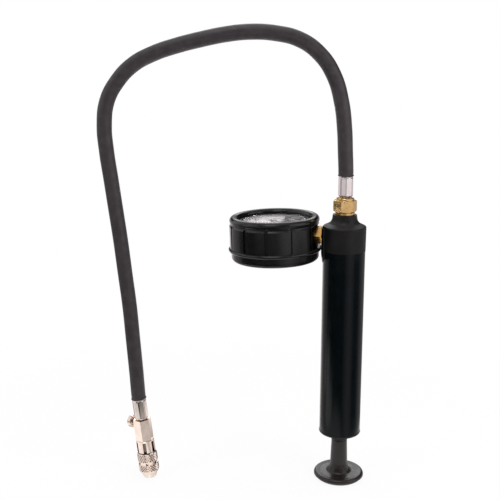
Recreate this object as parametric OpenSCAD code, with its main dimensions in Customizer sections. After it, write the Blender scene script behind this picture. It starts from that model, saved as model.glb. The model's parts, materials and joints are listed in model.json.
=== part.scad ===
// Hand-pump pressure tester for cooling systems: a barrel pump that stands on its
// plunger handle, a dial gauge in a rubber boot on the side of the head, and a hose
// that arches over to a quick coupler. Millimetres, +Z up along the pump, origin at
// the centre of the handle's flat face.

/* [Plunger handle] */
// Radius of the handle disc
handle_r = 22.2; // [18:0.2:26]
// Height of the handle, from its flat face to the top of its stem
handle_h = 37.3; // [32:0.5:50]
// Radius of the stem at its top
stem_top_r = 6.8; // [6:0.1:7.4]
// Radius of the stem at its foot
stem_foot_r = 7.7; // [7.4:0.1:9]
// Radius of the rounded rim of the disc
rim_r = 2.7; // [2:0.1:3.2]

/* [Pump barrel] */
// Outer diameter of the barrel tube
barrel_d = 36; // [34:0.5:37.5]
// Wall of the barrel tube
barrel_wall = 1.5; // [1:0.1:2]
// Length of the barrel tube
barrel_h = 164; // [130:1:190]
// Diameter of the piston rod
rod_d = 8; // [6:0.5:9]
// Height of the end cap's guide collar
collar_h = 7; // [5:0.5:10]
// Thickness of the end cap's flange
cap_flange_t = 1.7; // [1.2:0.1:3]
// Depth of the end cap's plug inside the barrel
cap_plug_h = 8; // [5:0.5:12]

/* [Piston] */
// Thickness of the piston's backing disc
piston_t = 4; // [3:0.5:6]
// Height of the cup seal
cup_h = 9; // [7:0.5:12]
// Thickness of the cup seal's floor
cup_floor_t = 2.5; // [1.5:0.1:3]
// Gap between the cup seal and the head when the plunger is pushed in
piston_gap = 3; // [2:0.5:6]

/* [Pump head] */
// Height of the head's skirt up to its shoulder
skirt_h = 19.8; // [18:0.2:25]
// How far the skirt's lower edge stands out from the barrel
skirt_step = 0.2; // [0.1:0.1:1]
// How much wider the skirt is at its shoulder than at its lower edge
skirt_draft = 0.2; // [0:0.1:0.5]
// Height from the shoulder to the top of the neck
neck_h = 11; // [9:0.5:14]
// Radius of the neck at its narrowest
neck_r = 10.2; // [9:0.1:11]
// Depth of the head's plug inside the barrel
head_plug_h = 11; // [8:0.5:14]
// Radius of the valve chamber
chamber_r = 4.2; // [3.8:0.1:5]
// Radius of the check valve's ball
ball_r = 3; // [2.6:0.1:3.4]
// Lift of the ball off its seat
ball_lift = 1.5; // [1:0.1:2]
// Height of the gauge port above the barrel's end
port_up = 13; // [12.5:0.5:14]
// Distance from the pump's axis to the flat face of the gauge port's lobe
pad_reach = 19; // [18.6:0.1:20.5]
// How much the lobe's round sides stand out past its flat face
lobe_round = 0.7; // [0.4:0.1:1.2]
// Width of the gauge port's lobe
lobe_w = 20; // [17:0.5:22]
// How far the lobe reaches below the skirt
lobe_drop = 11.5; // [9:0.5:13]

/* [Outlet and hose] */
// Width of the swivel nut across its flats
nut_af = 17.5; // [16.5:0.1:18]
// Height of the nut's hexagon
nut_hex_h = 10; // [9.5:0.5:12]
// Height of the nut's round crown
nut_crown_h = 1.8; // [1.5:0.1:3]
// Outer diameter of the crimped ferrules
ferrule_d = 12.4; // [12:0.1:13]
// Length of the upper ferrule
ferrule_h = 17.8; // [14:0.2:20]
// Number of flats that the crimping dies leave on a ferrule
crimp_count = 8; // [6:1:12]
// Depth of those flats
crimp_depth = 0.25; // [0.1:0.05:0.3]
// Outer diameter of the hose
hose_d = 12.7; // [12:0.1:13]
// Radius of the hose tails' barbs
tail_r = 3.2; // [2.8:0.1:3.6]
// Radius of the air passage through the fittings
passage_r = 1.5; // [1:0.1:2]

/* [Coupler] */
// Lean of the coupler from upright
coupler_lean = 6.3; // [0:0.1:12]
// Distance from the pump's axis to the coupler's tip
coupler_out = 170.3; // [160:0.5:180]
// Height of the collet's nose below the sleeve
nose_h = 4.2; // [3:0.2:6]
// Length of the knurled sleeve
sleeve_h = 20; // [17:0.2:22]
// Outer diameter of the knurled sleeve
sleeve_d = 18.2; // [17.8:0.2:21]
// Travel of the sleeve
sleeve_travel = 5; // [3:0.5:6]
// Number of knurl teeth round the sleeve
knurl_count = 32; // [24:2:40]
// Length of the slotted shoulder above the sleeve
shoulder_h = 11.8; // [10:0.2:16]
// Diameter of the slotted shoulder
shoulder_d = 16; // [15.4:0.1:16.4]
// Radius of the collet's bore
collet_bore_r = 4.4; // [4:0.1:4.6]
// Depth of the collet's bore from its mouth to the seal
grip_h = 16; // [12:0.5:18]
// Number of slots in the collet
slot_count = 6; // [4:1:8]
// Width of the slots in the collet's shoulder
slot_w = 2.9; // [2:0.1:3]
// Width of the slits that part the collet's fingers
slit_w = 1.4; // [1:0.1:1.8]
// Width of the coupler's hexagon across its flats
hex_af = 14; // [13.6:0.1:15]
// Length of the coupler's hexagon
hex_h = 19.6; // [18:0.2:26]
// Length of the lower ferrule
ferrule_low_h = 19.2; // [16:0.2:22]
// Radius of the bleed knob
knob_r = 5.4; // [4:0.1:5.8]
// Distance from the coupler's axis to the end of the bleed knob
knob_out = 14.6; // [13.6:0.1:16]

/* [Gauge] */
// Gap between the gauge's boot and the lobe on the pump's head
boot_gap = 2; // [1.8:0.1:8]
// Turn of the gauge about the pump, seen from above
gauge_turn = -12; // [-40:1:40]
// Droop of the gauge below level
gauge_droop = 1.7; // [0:0.1:3]
// Radius of the gauge's case
case_r = 31.5; // [30.5:0.1:32]
// Wall of the gauge's case
case_wall = 1; // [0.8:0.1:1.2]
// Height of the case below the port's axis
case_below = 18; // [17:0.5:20]
// Height of the case above the port's axis
case_above = 10; // [9:0.1:11]
// Thickness of the lens
lens_t = 1.3; // [1:0.1:2]
// How far the lens's raised window stands up inside the bezel ring
lens_rise = 1.9; // [1:0.1:2.4]
// How far the bezel ring stands out past the case
bezel_out = 2.5; // [1.5:0.1:3.5]
// How far the bezel ring reaches in over the lens
bezel_in = 4; // [3:0.1:5]
// Gap between the dial plate and the case
dial_gap = 1.9; // [1:0.1:4]
// Length of the pointer from its pivot
pointer_len = 22.5; // [18:0.5:25]
// Width across the flats of the gauge stem's hexagon
stem_af = 14; // [13.6:0.1:15]
// Radius of the gauge stem's thread
thread_r = 6; // [5:0.1:6.2]

/* [Gauge boot] */
// Wall of the boot's band over the case
boot_wall = 7.5; // [7:0.1:10]
// Radius of the boot's rounded top lip in section
lip_r = 3.6; // [3.4:0.1:3.8]
// Number of grooves round the boot
groove_count = 12; // [8:1:16]
// Width of the grooves
groove_w = 2.8; // [2:0.1:4]
// Depth of the grooves
groove_depth = 1.3; // [0.8:0.1:1.6]
// Half width of the boot's notch for the stem
notch_half_w = 17; // [14:0.5:19]

/* [Gauge movement] */
// Size of a gear tooth as pitch diameter over count
gear_module = 0.5; // [0.46:0.01:0.54]
// Teeth on the pointer's pinion
pinion_teeth = 10; // [10:1:12]
// Teeth that the sector would have as a whole wheel
sector_teeth = 64; // [60:1:70]
// Sweep of the pointer over the dial
pointer_sweep = 270; // [240:5:280]
// Gap between the Bourdon tube and the case
tube_gap = 4.5; // [4:0.1:5]
// Length of the sector's tail arm
tail_arm = 6; // [5:0.1:6.5]

/* [Clearances] */
// Running clearance of shafts and slides, on the radius
run_gap = 0.05; // [0.02:0.01:0.09]
// Gap round seated pieces, on the radius
seat_gap = 0.1; // [0.05:0.01:0.2]

/* [Hidden] */
$fn = 64;
FINE = 32;          // facets of small rounds

// Levels along the pump
barrel_r = barrel_d / 2;
bore_r = barrel_r - barrel_wall;
rod_r = rod_d / 2;
collar_z = handle_h;
flange_z = collar_z + collar_h;
barrel_z = flange_z + cap_flange_t;
head_z = barrel_z + barrel_h;
head_plug_z = head_z - head_plug_h;
shoulder_z = head_z + skirt_h;
neck_z = shoulder_z + neck_h;
port_z = head_z + port_up;
plug_r = bore_r - seat_gap;
seal_mid_z = head_z - 5.8;          // the head's ring seal
groove_in = 1.8;

// Handle
disc_t = 2 * rim_r + 1;
rod_socket_z = 12;
flat_r = handle_r - 1.9 * rim_r;

// Piston stack, from the top down
rod_neck_r = rod_r - 1;
rod_top_z = head_plug_z - piston_gap + 0.6;
cup_top_z = head_plug_z - piston_gap;
cup_z = cup_top_z - cup_h;
piston_z = cup_z - piston_t;
washer_t = 1.2;
washer_z = cup_z + cup_floor_t;
piston_nut_z = washer_z + washer_t;
piston_nut_h = 3.6;
piston_nut_af = 10;

// Rod bush in the end cap
bush_wall = 1.4;
bush_flange = 1;
bush_r = rod_r + run_gap + bush_wall;
collar_r = 8.2;

// Check valve, from the seat up
inlet_r = 2;
seat_z = head_plug_z + 7;
seat_t = 1.5;
ball_z = seat_z + seat_t + sqrt(ball_r * ball_r - inlet_r * inlet_r) + 0.03;
nipple_z = neck_z - 11.3;
valve_wire_r = 0.3;
valve_coil_r = 2.2;
valve_spring_low = ball_z + valve_wire_r / 6
    + sqrt(pow(ball_r + valve_wire_r, 2) - pow(valve_coil_r, 2));

// Outlet
nipple_r = 6;
nipple_flange_r = nut_af / 2 - 0.45;
nipple_flange_t = 2.5;
nut_z = neck_z + nipple_flange_t;
nut_hex_top = nut_z + nut_hex_h;
nut_top = nut_hex_top + nut_crown_h;
nut_crown_r = nut_af / 2 - 1.3;
nut_face = 5;                       // turn of the nut's corners from the X axis
nipple_top = nut_z + 7;
nut_bore_r = 5.4;
tail_flange_t = 2;
tail_flange_z = nipple_top;
nut_land_z = tail_flange_z + tail_flange_t;
ferrule_z = nut_top + 0.4;
ferrule_end = ferrule_z + ferrule_h;

// Coupler, along its own axis from the tip
nose_r = 5.4;
finger_r = 6.6;
sleeve_z = nose_h;
sleeve_end = sleeve_z + sleeve_h;
shoulder_low = sleeve_end + 0.6;
hex_z = sleeve_end + shoulder_h;
hex_end = hex_z + hex_h;
coupler_end = hex_end + ferrule_low_h;
finger_root = hex_z - 1.2;
seal_z = grip_h;
seal_t = 2;
seal_r = collet_bore_r + 0.3;
slot_floor_r = seal_r + 0.7;
collet_neck_r = 3.6;
pin_stop_z = seal_z + 12;
pin_r = 1;
pin_head_t = 1.6;
shank_r = 5.4;
shank_h = 9;
sleeve_bore_r = finger_r + 0.3;
spring_pocket_r = shoulder_d / 2 + run_gap;
groove_z = sleeve_z + 9.4;
groove_len = 1.6;
groove_floor_r = sleeve_d / 2 - 1.1;
knurl_depth = 0.55;
spring_pocket_z = groove_z + groove_len + 0.2;
sleeve_wire_r = 0.45;
sleeve_coil_r = (finger_r + spring_pocket_r) / 2;
hex_turn = 24;                      // turn of the coupler's corners from its X axis
bleed_z = hex_end - 4.4;
bleed_turn = 145;
bleed_stem_r = 1.5;
bleed_stem_in = 3.2;                // the stem's inner end, from the coupler's axis
gland_r = 3.2;
gland_in = hex_af / 2 - 1;
gland_out = 9.6;
coupler_foot = nose_r * sin(coupler_lean);

// Gauge, about its own axis with the port's axis as zero height
case_inner_r = case_r - case_wall;
bezel_r = case_r + bezel_out;
window_r = case_r - bezel_in;
dial_r = case_inner_r - dial_gap;
boot_r = case_r + boot_wall;
gauge_reach = pad_reach + boot_gap + boot_r;
case_floor = -case_below;
case_floor_t = 1.2;
lens_z = case_above;
lens_top = lens_z + lens_t;
bezel_t = 1.2;
bezel_low = 7.6;
bezel_top = lens_top + bezel_t;
dial_z = lens_z - 2.5;
dial_t = 0.6;
dial_top = dial_z + dial_t;
pointer_z = dial_top + 0.7;
pad_x = gauge_reach - pad_reach;    // the pad's face, seen from the gauge
spot_x = pad_x + 0.3;               // spot face that the gauge's stem seats on
thread_len = 11.1;
shank_stem_r = 6.9;
block_len = 9.4;
block_x = case_inner_r - block_len - 1.1;
block_w = 14;
block_low = -8.3;
block_top = 1.5;
boot_low = case_floor - 4;
boot_hole_r = 22;
bead_z = -13.5;
bead_h = 3;
bead_r = boot_r + 1.2;
drum_r = boot_r - 1.2;
drum_round = 3.5;
lip_z = bezel_top + 0.5;
lip_ring_r = boot_r - 0.2 - lip_r;
boot_groove_low = bead_z + bead_h + 0.6;
boot_groove_high = lip_z - 3;
boot_bore_r = case_r + seat_gap;
boot_relief_r = boot_r - groove_depth - 2.4;

// Gauge movement
pinion_r = gear_module * pinion_teeth / 2;
sector_r = gear_module * sector_teeth / 2;
centre_distance = pinion_r + sector_r;
sector_swing = pointer_sweep * pinion_teeth / sector_teeth;
sector_at = 35;                     // direction of the sector's pivot from the pointer's
sector_x = centre_distance * cos(sector_at);
sector_y = centre_distance * sin(sector_at);
tooth_play = 0.05;                  // half the backlash, in mm at the pitch circle
arbor_r = 0.9;
arbor_top = pointer_z + 0.3;
plate_low_z = block_low - 1.2;
plate_t = 1.2;
plate_high_z = -0.9;
tube_end_a = 70;
tube_start_a = 352;
tube_wall = 0.5;
tube_w = 3;
tube_ring_r = case_inner_r - tube_gap - tube_w / 2;
tube_tall = 8;
tube_mid_z = -3.4;
tip_pin_a = 64;
tip_x = tube_ring_r * cos(tip_pin_a);
tip_y = tube_ring_r * sin(tip_pin_a);
tip_span = norm([tip_x - sector_x, tip_y - sector_y]);
link_len = sqrt(tip_span * tip_span - tail_arm * tail_arm);
tip_dir = atan2(tip_y - sector_y, tip_x - sector_x);
arm_mid_a = tip_dir - acos(tail_arm / tip_span);
arm_rest_a = arm_mid_a - sector_swing / 2;
link_dir = arm_mid_a + 90;
link_pull = 2 * tail_arm * sin(sector_swing / 2);
arm_x = sector_x + tail_arm * cos(arm_rest_a);
arm_y = sector_y + tail_arm * sin(arm_rest_a);
link_pin_r = 0.6;
link_z = 1;
link_t = 0.6;
link_pin_top = link_z + link_t + 0.3;
pillars = [[5, 17.5], [12, -9]];
post_y = 4;                         // two posts that carry the dial
post_x = block_x + block_len / 2;
post_r = 1.5;
screw_r = 0.6;
screw_len = 2;
sector_z = -5.2;
sector_t = 1.4;
pinion_z = sector_z - 0.8;
pinion_h = 3;

// Route of the hose's centre line between the ferrules, chosen by hand
HOSE_ROUTE = [
    [-1, 0, 295], [-2, 0, 312], [-5, 0, 334], [-12, 0, 356], [-24, 0, 373],
    [-40, 0, 384], [-60, 0, 389], [-80, 0, 390], [-100, 0, 388], [-120, 0, 384],
    [-140, 0, 379], [-158, 0, 373], [-175, 0, 364], [-188, 0, 351],
    [-197, 0, 335], [-200, 0, 315], [-199, 0, 295], [-196, 0, 270],
    [-193, 0, 245], [-190, 0, 220], [-187, 0, 190], [-184, 0, 160],
    [-182, 0, 130], [-180, 0, 100]
];
HOSE_SIDES = 12;

// ---- shared shapes ----

function arc(cx, cy, r, from, to, n = 8) =
    [for (i = [0 : n]) let (a = from + (to - from) * i / n) [cx + r * cos(a), cy + r * sin(a)]];

function unit(v) = v / norm(v);

// A ring of points round p, square to the direction t
function ring(p, t, up, r, sides) =
    let (s = unit(cross(t, up)), u = cross(s, unit(t)))
    [for (k = [0 : sides - 1]) let (a = 360 * k / sides) p + r * (cos(a) * s + sin(a) * u)];

// A closed tube along points, each with its own direction
module swept(points, ways, up, r, sides) {
    n = len(points);
    verts = [for (i = [0 : n - 1]) each ring(points[i], ways[i], up, r, sides)];
    walls = [for (i = [0 : n - 2], k = [0 : sides - 1])
        let (a = i * sides + k, b = i * sides + (k + 1) % sides)
        each [[a, b, a + sides], [b, b + sides, a + sides]]];
    foot = [for (k = [1 : sides - 2]) [0, k + 1, k]];
    top = [for (k = [1 : sides - 2]) [0, k, k + 1] + (n - 1) * [sides, sides, sides]];
    polyhedron(points = verts, faces = concat(walls, foot, top));
}

// A coil spring from low to high, with its wire inside those heights
module coil(mean_r, wire_r, low, high, turns) {
    per_turn = 12;
    n = turns * per_turn;
    rise = high - low - 2 * wire_r;
    points = [for (i = [0 : n]) let (a = 360 * i / per_turn)
        [mean_r * cos(a), mean_r * sin(a), low + wire_r + rise * i / n]];
    ways = [for (i = [0 : n]) let (a = 360 * i / per_turn)
        [-mean_r * sin(a), mean_r * cos(a), rise / (turns * 2 * PI)]];
    swept(points, ways, [0, 0, 1], wire_r, 6);
}

// A ring of rectangular section
module tube(outer, inner, low, high) {
    rotate_extrude() translate([inner, low]) square([outer - inner, high - low]);
}

// A hexagon prism, with its corners turned to an angle and its ends rounded off
module hexagon(af, low, high, chamfer) {
    corner = af / sqrt(3);
    intersection() {
        translate([0, 0, low]) cylinder(r = corner, h = high - low, $fn = 6);
        rotate_extrude() polygon([
            [0, low], [corner - chamfer, low], [corner, low + chamfer * 0.6],
            [corner, high - chamfer * 0.6], [corner - chamfer, high], [0, high]
        ]);
    }
}

// A flat bar with round ends from a to b
module strap(a, b, w) {
    d = b - a;
    translate(a) rotate(atan2(d[1], d[0])) {
        translate([0, -w / 2]) square([norm(d), w]);
        circle(d = w, $fn = FINE);
        translate([norm(d), 0]) circle(d = w, $fn = FINE);
    }
}

// Places the gauge's pieces: its stem's axis meets the pump's axis at the port
module at_gauge() {
    translate([0, 0, port_z]) rotate([0, 0, gauge_turn]) rotate([0, -gauge_droop, 0])
        translate([-gauge_reach, 0, 0]) children();
}

// Places the coupler's pieces: its own +Z runs from the tip up towards the hose
module at_coupler() {
    translate([-coupler_out, 0, coupler_foot]) rotate([0, -coupler_lean, 0]) children();
}

// A cylinder along +X, as the gauge's stem and port are
module along_x(r, from, to) {
    translate([from, 0, 0]) rotate([0, 90, 0]) cylinder(r = r, h = to - from);
}

// ---- plunger ----

module handle() color([0.16, 0.15, 0.16]) {
    dish_r = stem_foot_r + 4.4;
    difference() {
        rotate_extrude() polygon(concat(
            [[0, 0], [flat_r, 0]],
            arc(flat_r, 1.75 * rim_r, 1.75 * rim_r, -90, -20, 5),
            arc(handle_r - rim_r, disc_t - rim_r, rim_r, -10, 90, 8),
            [[handle_r - rim_r - 3, disc_t - 0.5], [dish_r, disc_t - 0.2]],
            arc(dish_r, disc_t + 2.8, 3, 265, 190, 5),
            [[stem_foot_r + 0.7, disc_t + 4.4], [stem_foot_r, disc_t + 7.5],
             [stem_top_r + 0.15, handle_h - 0.8], [stem_top_r - 0.5, handle_h],
             [0, handle_h]]
        ));
        translate([0, 0, rod_socket_z])
            cylinder(r = rod_r + run_gap, h = handle_h - rod_socket_z + 1);
    }
}

module piston_rod() color([0.75, 0.75, 0.76]) {
    translate([0, 0, rod_socket_z]) cylinder(r = rod_r, h = piston_z - rod_socket_z);
    translate([0, 0, piston_z])
        cylinder(r = rod_neck_r, h = rod_top_z - piston_z, $fn = FINE);
}

module piston() color([0.8, 0.78, 0.72]) {
    groove = 1.2;
    difference() {
        rotate_extrude() polygon([
            [rod_neck_r + run_gap, piston_z], [bore_r - 1, piston_z],
            [bore_r - 0.4, piston_z + 0.6], [bore_r - 0.4, piston_z + piston_t],
            [rod_neck_r + run_gap, piston_z + piston_t]
        ]);
        // air slots that the cup seal opens on the way back
        for (a = [0 : 60 : 300]) rotate(a)
            translate([bore_r - 1.6, -groove, piston_z - 1]) cube([3, 2 * groove, piston_t + 2]);
    }
}

module cup_seal() color([0.12, 0.12, 0.12]) {
    lip_in = bore_r - 2.6;
    rotate_extrude() polygon([
        [rod_neck_r + run_gap, cup_z], [bore_r - 1.4, cup_z], [bore_r - run_gap, cup_z + 1.6],
        [bore_r - run_gap, cup_top_z], [bore_r - 1.2, cup_top_z],
        [lip_in, cup_z + cup_floor_t + 1], [lip_in - 1, cup_z + cup_floor_t],
        [rod_neck_r + run_gap, cup_z + cup_floor_t]
    ]);
}

module piston_washer() color([0.72, 0.72, 0.74])
    tube(bore_r - 4.6, rod_neck_r + run_gap, washer_z, washer_z + washer_t);

module piston_nut() color([0.72, 0.72, 0.74])
    difference() {
        hexagon(piston_nut_af, piston_nut_z, piston_nut_z + piston_nut_h, 0.6);
        translate([0, 0, piston_nut_z - 1])
            cylinder(r = rod_neck_r + run_gap, h = piston_nut_h + 2, $fn = FINE);
    }

// ---- barrel and head ----

module barrel() color([0.05, 0.05, 0.06])
    tube(barrel_r, bore_r, barrel_z, head_z);

module barrel_end_cap() color([0.1, 0.1, 0.1])
    rotate_extrude() polygon(concat(
        [[bush_r + seat_gap, collar_z], [collar_r - 0.9, collar_z], [collar_r - 0.5, collar_z + 1]],
        [[collar_r - 0.4, flange_z - 2.6], [collar_r + 0.8, flange_z - 0.7]],
        [[collar_r + 2, flange_z - 0.2], [barrel_r - 1.5, flange_z - 0.2]],
        arc(barrel_r - 1.1, flange_z + 1.2, 1.4, -75, 0, 4),
        [[barrel_r + 0.3, barrel_z - 0.2], [barrel_r + 0.2, barrel_z]],
        [[plug_r, barrel_z], [plug_r, barrel_z + cap_plug_h - 1],
         [plug_r - 1, barrel_z + cap_plug_h], [bush_r + seat_gap, barrel_z + cap_plug_h]]
    ));

module rod_bush() color([0.72, 0.55, 0.3]) {
    bush_in = rod_r + run_gap;
    bush_end = barrel_z + cap_plug_h;
    tube(bush_r, bush_in, collar_z + 0.6, bush_end);
    tube(bush_r + 2, bush_in, bush_end, bush_end + bush_flange);
}

module head_body() {
    skirt_low_r = barrel_r + skirt_step;
    skirt_top_r = skirt_low_r + skirt_draft;
    fillet = 6.4;
    rotate_extrude() polygon(concat(
        [[0, head_plug_z], [plug_r - 1, head_plug_z], [plug_r, head_plug_z + 1], [plug_r, head_z]],
        [[skirt_low_r, head_z], [skirt_top_r, shoulder_z]],
        arc(skirt_top_r - 1.6, shoulder_z, 1.6, 15, 75, 3),
        arc(neck_r + 0.3 + fillet, neck_z - 2.2, fillet, 250, 185, 8),
        [[neck_r, neck_z], [0, neck_z]]
    ));
}

// Lobe that carries the gauge port: it stands out from the skirt and reaches below it
module port_lobe() {
    low = head_z - lobe_drop;
    round_r = lobe_w / 2;
    side_r = pad_reach + lobe_round;
    difference() {
        intersection() {
            rotate(gauge_turn + 180) rotate([90, 0, 90]) linear_extrude(height = pad_reach) {
                translate([-round_r, low + round_r])
                    square([lobe_w, shoulder_z - 0.6 - low - round_r]);
                translate([0, low + round_r]) circle(r = round_r);
            }
            rotate_extrude() polygon([
                [0, low - 1], [barrel_r + seat_gap, low - 1], [side_r, head_z - 2],
                [side_r, shoulder_z - 2], [side_r - 1, shoulder_z], [0, shoulder_z]
            ]);
        }
        // barrel's end
        translate([0, 0, low - 2])
            cylinder(r = barrel_r + seat_gap, h = head_z - low + 2);
    }
}

module head_cap() color([0.12, 0.12, 0.13])
    difference() {
        union() {
            head_body();
            port_lobe();
        }
        // seal groove
        tube(plug_r + 1, plug_r - groove_in, seal_mid_z - groove_in * 2 / 3,
            seal_mid_z + groove_in * 2 / 3);
        // inlet, valve chamber and outlet thread
        translate([0, 0, head_plug_z - 1]) cylinder(r = inlet_r, h = head_plug_h, $fn = FINE);
        translate([0, 0, seat_z]) cylinder(r = chamber_r, h = nipple_z - seat_z + 1);
        translate([0, 0, nipple_z]) cylinder(r = nipple_r + run_gap, h = neck_z - nipple_z + 1);
        // gauge port
        at_gauge() {
            along_x(stem_af / sqrt(3) + 0.4, pad_x - 4, spot_x);
            along_x(thread_r + run_gap, pad_x, spot_x + thread_len + 0.6);
            along_x(passage_r, pad_x, gauge_reach);
        }
    }

module head_seal() color([0.08, 0.08, 0.08])
    rotate_extrude() translate([(bore_r + plug_r - groove_in) / 2, seal_mid_z])
        circle(r = (bore_r - plug_r + groove_in) / 2 - 0.03, $fn = FINE);

module valve_seat() color([0.1, 0.1, 0.1])
    tube(chamber_r - seat_gap, inlet_r, seat_z, seat_z + seat_t);

module check_ball() color([0.8, 0.8, 0.82])
    translate([0, 0, ball_z]) sphere(r = ball_r);

module valve_spring() color([0.75, 0.75, 0.76])
    coil(valve_coil_r, valve_wire_r, valve_spring_low - valve_wire_r, nipple_z, 6);

module outlet_nipple() color([0.85, 0.65, 0.35])
    difference() {
        union() {
            translate([0, 0, nipple_z]) cylinder(r = nipple_r, h = neck_z - nipple_z);
            rotate_extrude() polygon([
                [0, neck_z], [nipple_flange_r - 0.3, neck_z], [nipple_flange_r, neck_z + 0.4],
                [nipple_flange_r, nut_z - 0.4], [nipple_flange_r - 0.4, nut_z], [0, nut_z]
            ]);
            translate([0, 0, nut_z]) cylinder(r = nut_bore_r, h = nipple_top - nut_z);
        }
        translate([0, 0, nipple_z - 1])
            cylinder(r = passage_r, h = nipple_top - nipple_z + 2, $fn = FINE);
    }

module swivel_nut() color([0.87, 0.67, 0.38])
    rotate(nut_face) difference() {
        union() {
            hexagon(nut_af, nut_z + seat_gap, nut_hex_top, 1.5);
            translate([0, 0, nut_hex_top - 0.5]) rotate_extrude() polygon([
                [0, 0], [nut_crown_r, 0], [nut_crown_r, nut_crown_h],
                [nut_crown_r - 0.5, nut_crown_h + 0.5], [0, nut_crown_h + 0.5]
            ]);
        }
        translate([0, 0, nut_z - 1])
            cylinder(r = nut_bore_r + run_gap, h = nut_land_z - nut_z + 1 + seat_gap);
        translate([0, 0, nut_z]) cylinder(r = tail_r + run_gap, h = nut_top - nut_z + 1);
        // dimple of the staking punch, near the top of the front face
        rotate(-100 - nut_face) translate([0, 0, nut_hex_top - 0.9])
            along_x(0.55, nut_af / 2 - 0.5, nut_af / 2 + 2);
    }

module hose_tail() color([0.78, 0.72, 0.66])
    difference() {
        rotate_extrude() polygon(concat(
            [[0, tail_flange_z], [nut_bore_r - 0.2, tail_flange_z]],
            [[nut_bore_r - 0.2, nut_land_z], [tail_r, nut_land_z]],
            [[tail_r, ferrule_end - 1.5], [tail_r - 0.8, ferrule_end - 0.4]],
            [[0, ferrule_end - 0.4]]
        ));
        translate([0, 0, tail_flange_z - 1])
            cylinder(r = passage_r, h = ferrule_end - tail_flange_z + 2, $fn = FINE);
    }

// A crimped ferrule from low to high, with a rounded lower end and a flat from each die
module ferrule(low, high) {
    r = ferrule_d / 2;
    difference() {
        rotate_extrude() polygon(concat(
            [[tail_r + run_gap, low], [r - 1.9, low]],
            arc(r - 1.6, low + 1.9, 1.6, -60, 0, 4),
            [[r, high - 1.4], [r - 0.3, high - 0.9], [r - 0.3, high - 0.5], [r - 0.1, high],
             [tail_r + run_gap, high]]
        ));
        for (i = [0 : crimp_count - 1]) rotate(-90 + 360 * (i + 0.5) / crimp_count)
            translate([r - crimp_depth, -r, low + 2.2]) cube([r, 2 * r, high - low - 4.2]);
    }
}

module ferrule_top() color([0.82, 0.8, 0.8]) ferrule(ferrule_z, ferrule_end);

module hose() color([0.2, 0.19, 0.2]) {
    foot = [-coupler_out, 0, coupler_foot];
    down = [sin(coupler_lean), 0, -cos(coupler_lean)];
    points = concat([[0, 0, ferrule_end]], HOSE_ROUTE, [foot - coupler_end * down]);
    last = len(points) - 1;
    ways = [for (i = [0 : last])
        i == 0 ? [0, 0, 1] : i == last ? down : points[i + 1] - points[i - 1]];
    swept(points, ways, [0, 1, 0], hose_d / 2, HOSE_SIDES);
}

// ---- coupler ----

module ferrule_bottom() color([0.82, 0.78, 0.76]) at_coupler() ferrule(hex_end, coupler_end);

module coupler_body() color([0.85, 0.78, 0.74]) at_coupler()
    difference() {
        union() {
            rotate(hex_turn) hexagon(hex_af, hex_z, hex_end, 0.5);
            rotate_extrude() polygon([
                [0, hex_end - 1], [tail_r, hex_end - 1], [tail_r, coupler_end - 1.5],
                [tail_r - 0.8, coupler_end - 0.4], [0, coupler_end - 0.4]
            ]);
        }
        translate([0, 0, hex_z - 1]) cylinder(r = shank_r + run_gap, h = shank_h + 1.2);
        translate([0, 0, hex_z]) cylinder(r = passage_r, h = coupler_end - hex_z, $fn = FINE);
        translate([0, 0, bleed_z]) rotate(bleed_turn) {
            along_x(bleed_stem_r + run_gap, bleed_stem_in - 0.3, hex_af);
            along_x(passage_r / 2, 0, bleed_stem_in);
            along_x(gland_r + seat_gap, gland_in, hex_af);
        }
    }

module coupler_collet() color([0.82, 0.76, 0.72]) at_coupler()
    difference() {
        rotate_extrude() polygon([
            [collet_bore_r, 0], [nose_r, 0], [nose_r + 0.7, 1.8], [finger_r, nose_h - 0.6],
            [finger_r, shoulder_low], [shoulder_d / 2 - 0.3, shoulder_low],
            [shoulder_d / 2, shoulder_low + 0.3], [shoulder_d / 2, hex_z - 0.3],
            [shoulder_d / 2 - 0.3, hex_z], [shank_r, hex_z], [shank_r, hex_z + shank_h],
            [passage_r, hex_z + shank_h], [passage_r, pin_stop_z],
            [collet_neck_r, pin_stop_z], [collet_neck_r, seal_z + seal_t],
            [seal_r, seal_z + seal_t], [seal_r, seal_z], [collet_bore_r, seal_z]
        ]);
        for (i = [0 : slot_count - 1]) rotate(-90 + 360 * i / slot_count) {
            translate([0, -slit_w / 2, -1]) cube([shoulder_d, slit_w, seal_z + 0.6]);
            translate([slot_floor_r, -slot_w / 2, -1])
                cube([shoulder_d, slot_w, finger_root + 1]);
        }
    }

// One knurled band: upright teeth cut round a chamfered ring
module knurled_band(low, high) {
    r = sleeve_d / 2;
    pitch = 360 / knurl_count;
    intersection() {
        translate([0, 0, low]) linear_extrude(height = high - low)
            polygon([for (i = [0 : knurl_count - 1], s = [0, 1])
                let (a = pitch * (i + s / 2), t = r - s * knurl_depth)
                [t * cos(a), t * sin(a)]]);
        rotate_extrude() polygon([
            [0, low], [r - 0.7, low], [r + 0.1, low + 0.8], [r + 0.1, high - 0.8],
            [r - 0.7, high], [0, high]
        ]);
    }
}

module coupler_sleeve() color([0.85, 0.8, 0.78]) at_coupler()
    difference() {
        union() {
            knurled_band(sleeve_z, groove_z);
            knurled_band(groove_z + groove_len, sleeve_end);
            translate([0, 0, sleeve_z + 1]) cylinder(r = groove_floor_r, h = sleeve_h - 2);
        }
        translate([0, 0, sleeve_z - 1]) cylinder(r = sleeve_bore_r, h = sleeve_h + 2);
        translate([0, 0, spring_pocket_z]) cylinder(r = spring_pocket_r, h = sleeve_h);
        for (i = [0 : slot_count - 1]) rotate(-90 + 360 * i / slot_count)
            translate([0, 0, groove_z + groove_len / 2]) along_x(0.95, sleeve_bore_r - 1, sleeve_d);
    }

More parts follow.
